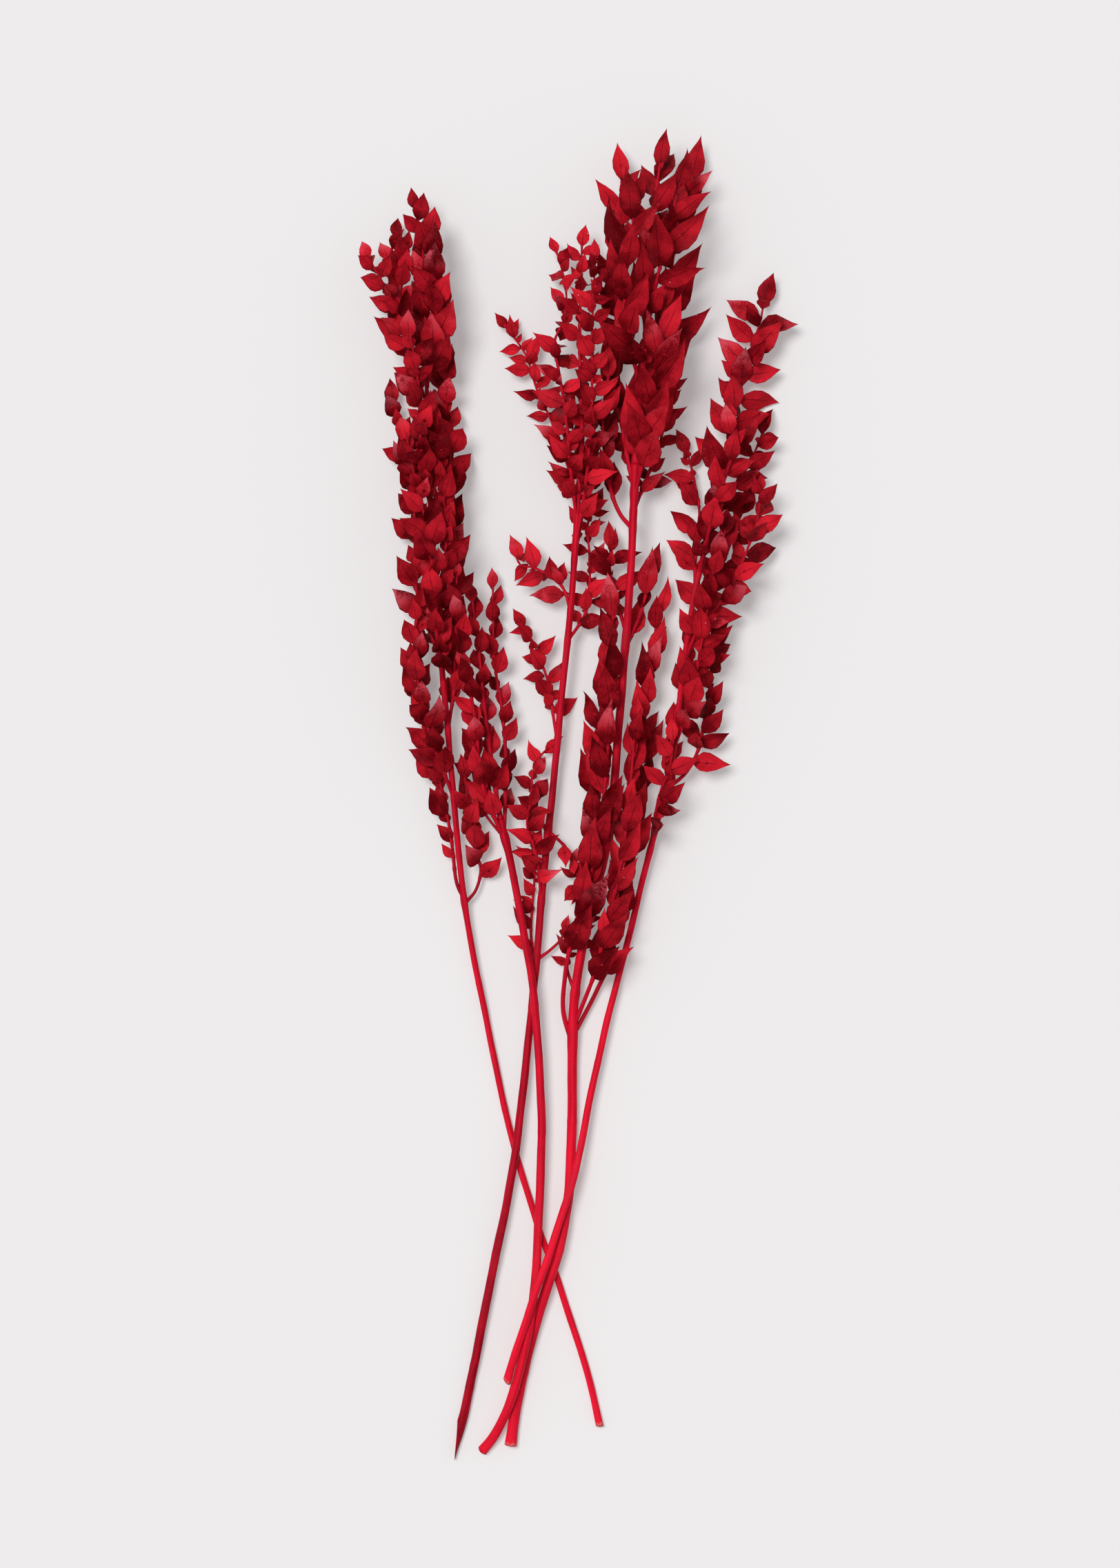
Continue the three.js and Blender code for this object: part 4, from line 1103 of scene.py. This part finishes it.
def leaf_material():
    material, board, shader = new_material("dyed_leaf", {"Specular IOR Level": 0.04})
    where = board.add("TexCoord").outputs["Object"]
    flat = board.add("SeparateXYZ", {0: board.add("UVMap", uv_map="along_and_across").outputs[0]}).outputs
    along = flat[0]
    side = board.times(board.maths("ABSOLUTE", board.maths("SUBTRACT", flat[1], 0.5)), 2.0)
    mottle = use_group(board, MOTTLING, {"Vector": where, **LEAF_MOTTLING})
    shade = board.maths("ADD", board.mark("tone"), board.uneven(mottle["Value"], UNEVEN))
    # each leaf is darker towards its stalk, up to the middle of its length
    shade = board.maths("MULTIPLY_ADD", board.ramp(along, 0.0, 0.55, 1.0, 0.0), -0.22, shade)
    base = board.mix(shade, LEAF_DEEP, LEAF_BRIGHT)
    # fine lengthwise veins that meet at the stalk and at the tip, and a midrib
    wiggle = board.times(mottle["Value"], VEIN_WIGGLE)
    vein = board.ramp(board.maths("SINE", board.maths("MULTIPLY_ADD", side, VEINS, wiggle)), 0.35, 1.0)
    midrib = board.times(board.ramp(side, 0.02, 0.09, 1.0, 0.0), board.ramp(along, 0.85, 0.5, 0.0, 1.0))
    base = board.mix(board.times(vein, 0.16), base, LEAF_EDGE)
    base = board.mix(board.times(midrib, 0.5), base, LEAF_EDGE)
    # painted sheen: some leaves turn pinkish pale towards the tip, partly where their dye has faded and
    # partly as a painted highlight; each leaf is also paler underneath
    tip_sheen_and_fading = board.times(board.ramp(board.mark("chance"), 0.8, 0.97), board.ramp(along, 0.3, 0.9))
    tip_sheen_and_fading = board.times(tip_sheen_and_fading, board.ramp(mottle["Value"], 0.2, 0.7))
    base = board.mix(board.times(tip_sheen_and_fading, 0.75), base, LEAF_SHEEN_AND_FADED)
    base = board.mix(board.times(board.mark("under"), 0.12), base, LEAF_SHEEN_AND_FADED)
    # the rim, the tip and the stalk have dried darker
    rim = board.times(board.ramp(side, 0.86, 1.0), 0.5)
    tip = board.times(board.ramp(along, 0.88, 1.0), 0.7)
    stalk = board.times(board.ramp(along, 0.02, 0.09, 1.0, 0.0), 0.5)
    dark = board.maths("MAXIMUM", board.maths("MAXIMUM", rim, tip), stalk)
    base = board.mix(dark, base, LEAF_EDGE)
    base = board.mix(use_group(board, SPECKS, {"Vector": where, **LEAF_SPECKS})["Mask"], base, SPECK)
    board.give(shader.inputs["Base Color"], base)
    board.give(shader.inputs["Roughness"], board.maths("MULTIPLY_ADD", mottle["Value"], 0.18, 0.42))
    height = board.maths("MULTIPLY_ADD", vein, -0.35, board.times(mottle["Fine"], 0.5))
    height = board.maths("MULTIPLY_ADD", midrib, -0.6, height)
    height = board.maths("ADD", height, board.times(mottle["Value"], 0.8))
    bump = board.add("Bump", {"Strength": 0.5, "Distance": 0.00025, "Height": height})
    board.give(shader.inputs["Normal"], bump.outputs[0])
    return material


def stem_material():
    material, board, shader = new_material("dyed_stem", {"Specular IOR Level": 0.07})
    where = board.add("TexCoord").outputs["Object"]
    flat = board.add("UVMap", uv_map="along_and_across").outputs[0]
    # long streaks, about nine round the stem and three to each 100 mm along it
    stretched = board.add("Mapping", {"Vector": flat, "Scale": STREAKS}).outputs[0]
    streak = board.add("TexNoise", {"Vector": stretched, "Scale": 1.0, "Detail": 4.0}).outputs["Fac"]
    streak = board.ramp(streak, 0.3, 0.7)
    mottle = use_group(board, MOTTLING, {"Vector": where, **STEM_MOTTLING})
    cut = board.mark("cut")
    shade = board.maths("ADD", board.mark("tone"), board.uneven(streak, 0.3))
    shade = board.maths("ADD", shade, board.uneven(mottle["Value"], 0.3))
    base = board.mix(shade, STEM_DEEP, STEM_BRIGHT)
    speck = use_group(board, SPECKS, {"Vector": where, **STEM_SPECKS})["Mask"]
    base = board.mix(board.times(speck, 0.6), base, STEM_DEEP)
    # the cut is pale, and the dye is thin for a little way up from it
    pale = board.mix(mottle["Fine"], CUT_PALE, STEM_BRIGHT)
    base = board.mix(board.ramp(board.maths("MULTIPLY_ADD", streak, 0.3, cut), 0.4, 0.9), base, pale)
    board.give(shader.inputs["Base Color"], base)
    rough = board.maths("MULTIPLY_ADD", streak, 0.2, 0.38)
    board.give(shader.inputs["Roughness"], board.maths("MULTIPLY_ADD", cut, 0.3, rough))
    height = board.maths("MULTIPLY_ADD", streak, 1.0, board.times(mottle["Fine"], 0.4))
    bump = board.add("Bump", {"Strength": 0.5, "Distance": 0.0003, "Height": height})
    board.give(shader.inputs["Normal"], bump.outputs[0])
    return material


LEAF = leaf_material()
STEM = stem_material()

# ---------------------------------------------------------------- the bunch
LOOKS = {
    "left": dict(
        long=1.06, wide=1.08, point=1.5, tone=0.44, spread=0.34,
        foot_tone=0.9, top_tone=0.3, cut_faces=60, cut_pale=1.0,
    ),
    "short": dict(
        long=1.04, wide=1.02, point=1.55, tone=0.44, spread=0.34,
        foot_tone=0.85, top_tone=0.4, cut_faces=70, cut_pale=0.45,
    ),
    "middle": dict(
        long=1.16, wide=0.92, point=1.8, tone=0.64, spread=0.34,
        foot_tone=0.18, top_tone=0.5, cut_faces=0, cut_pale=0.0,
    ),
    "broad": dict(
        long=1.1, wide=0.92, point=1.75, tone=0.44, spread=0.38,
        foot_tone=0.85, top_tone=0.45, cut_faces=70, cut_pale=0.9,
    ),
    "right": dict(
        long=1.06, wide=1.0, point=1.5, tone=0.5, spread=0.38,
        foot_tone=0.95, top_tone=0.4, cut_faces=50, cut_pale=0.8,
    ),
}
STEM_FORM = dict(ridge=0.05, grain=0.02, wobble=0.2, flare=0.12, flare_reach=6)
TWIG_FORM = dict(ridge=0.06, grain=0.0, wobble=0.12, flare=0.45, flare_reach=2)
FORK_SWELL = (0.12, 3.5)
NODE_SWELL = (0.05, 1.4)
NODE_FIRST = 40
NODE_EVERY = 68
TWIG_SWELL = (0.3, 1.0)
TWIG_DARKER = 0.1


def share_at_y(rod, y):
    share = np.arange(SAMPLES + 1) / SAMPLES
    return np.interp(y, rod.curve.point(share)[:, 1], share)


def make_stem(key, rng):
    rod = rods[key]
    length = rod.curve.length
    forks = [share_at_y(rod, facts["at"]) for facts in SHOOTS.values() if facts["parent"] == key]
    swells = [(share * length, *FORK_SWELL) for share in forks]
    swells += [(at, *NODE_SWELL) for at in np.arange(NODE_FIRST, length, NODE_EVERY)]
    look = {**STEM_FORM, **LOOKS[key]}
    shell = rod_shell(rod, STEM_RING, STEM_AROUND, swells, look, rng, cut=rod.facts["cut"])
    make_piece(rod.name + "_bark", rod.name, shell, STEM)


def make_shoot(key, rng):
    rod = rods[key]
    nodes = rod.curve.length - TIP_SEAT - np.arange(leaf_count(rod) + 1) * rod.facts["every"]
    look = {**TWIG_FORM, **LOOKS[stem_of(rod)]}
    look |= {"foot_tone": look["top_tone"], "top_tone": look["top_tone"] - TWIG_DARKER}
    swells = [(at, *TWIG_SWELL) for at in nodes]
    shell = rod_shell(rod, TWIG_RING, TWIG_AROUND, swells, look, rng)
    make_piece(key + "_twig", key, shell, STEM)
    leaves = leaf_shells(rod.leaves, look, rng)
    buds = bud_shells(rod.leaves, look, rng)
    scales = leaf_shells(scale_leaves(rod, nodes[::2], rng), look, rng)
    make_piece(key + "_leaves", key, put_together([leaves, scales, buds]), LEAF)


for number, key in enumerate(STEMS):
    make_stem(key, np.random.default_rng(number))
for number, key in enumerate(SHOOTS):
    make_shoot(key, np.random.default_rng(100 + number))

# ---------------------------------------------------------------- floor, light and camera
FLOOR_TONE = (0.56, 0.548, 0.548, 1)
FLOOR_GLOW = 0.235
FLOOR_REACH = 4.0
ROOM_TONE = (0.97, 0.98, 1.0, 1)
WINDOW_WIDTH = math.radians(24)
WINDOW_TURN = (math.radians(-13), math.radians(-18), 0)
ROOM_LIGHT = 0.44
WINDOW_LIGHT = 2.3
FRAME_HEIGHT = 0.830
FRAME_MIDDLE = (-6.6, 6.9)
CAMERA_HEIGHT = 2.4
SENSOR = 36


def make_floor():
    mesh = bpy.data.meshes.new("floor")
    corners = [(x * FLOOR_REACH, y * FLOOR_REACH, 0) for x, y in ((-1, -1), (1, -1), (1, 1), (-1, 1))]
    mesh.from_pydata(corners, [], [(0, 1, 2, 3)])
    floor = bpy.data.objects.new("floor", mesh)
    bpy.context.scene.collection.objects.link(floor)
    # the floor glows a little as painted light, so that the shadows cast on it stay light
    glow = {"Emission Color": (1, 0.975, 0.975, 1), "Emission Strength": FLOOR_GLOW}
    finish = {"Base Color": FLOOR_TONE, "Roughness": 0.9, "Specular IOR Level": 0.1, **glow}
    mesh.materials.append(new_material("pale_floor", finish)[0])


def make_light():
    world = bpy.data.worlds.new("soft_room")
    world.use_nodes = True
    background = world.node_tree.nodes["Background"]
    background.inputs["Color"].default_value = ROOM_TONE
    background.inputs["Strength"].default_value = ROOM_LIGHT
    bpy.context.scene.world = world
    sun = bpy.data.lights.new("window", "SUN")
    sun.energy = WINDOW_LIGHT
    sun.angle = WINDOW_WIDTH
    lamp = bpy.data.objects.new("window", sun)
    lamp.rotation_euler = WINDOW_TURN
    bpy.context.scene.collection.objects.link(lamp)


def make_camera():
    data = bpy.data.cameras.new("camera")
    data.sensor_fit = "VERTICAL"
    data.sensor_height = SENSOR
    data.sensor_width = SENSOR
    data.lens = SENSOR * CAMERA_HEIGHT / FRAME_HEIGHT
    camera = bpy.data.objects.new("camera", data)
    middle = (np.array([*FRAME_MIDDLE, 0]) + SHIFT) * MM
    camera.location = (middle[0], middle[1], CAMERA_HEIGHT)
    bpy.context.scene.collection.objects.link(camera)
    bpy.context.scene.camera = camera


make_floor()
make_light()
make_camera()
bpy.context.scene.view_settings.view_transform = "Standard"
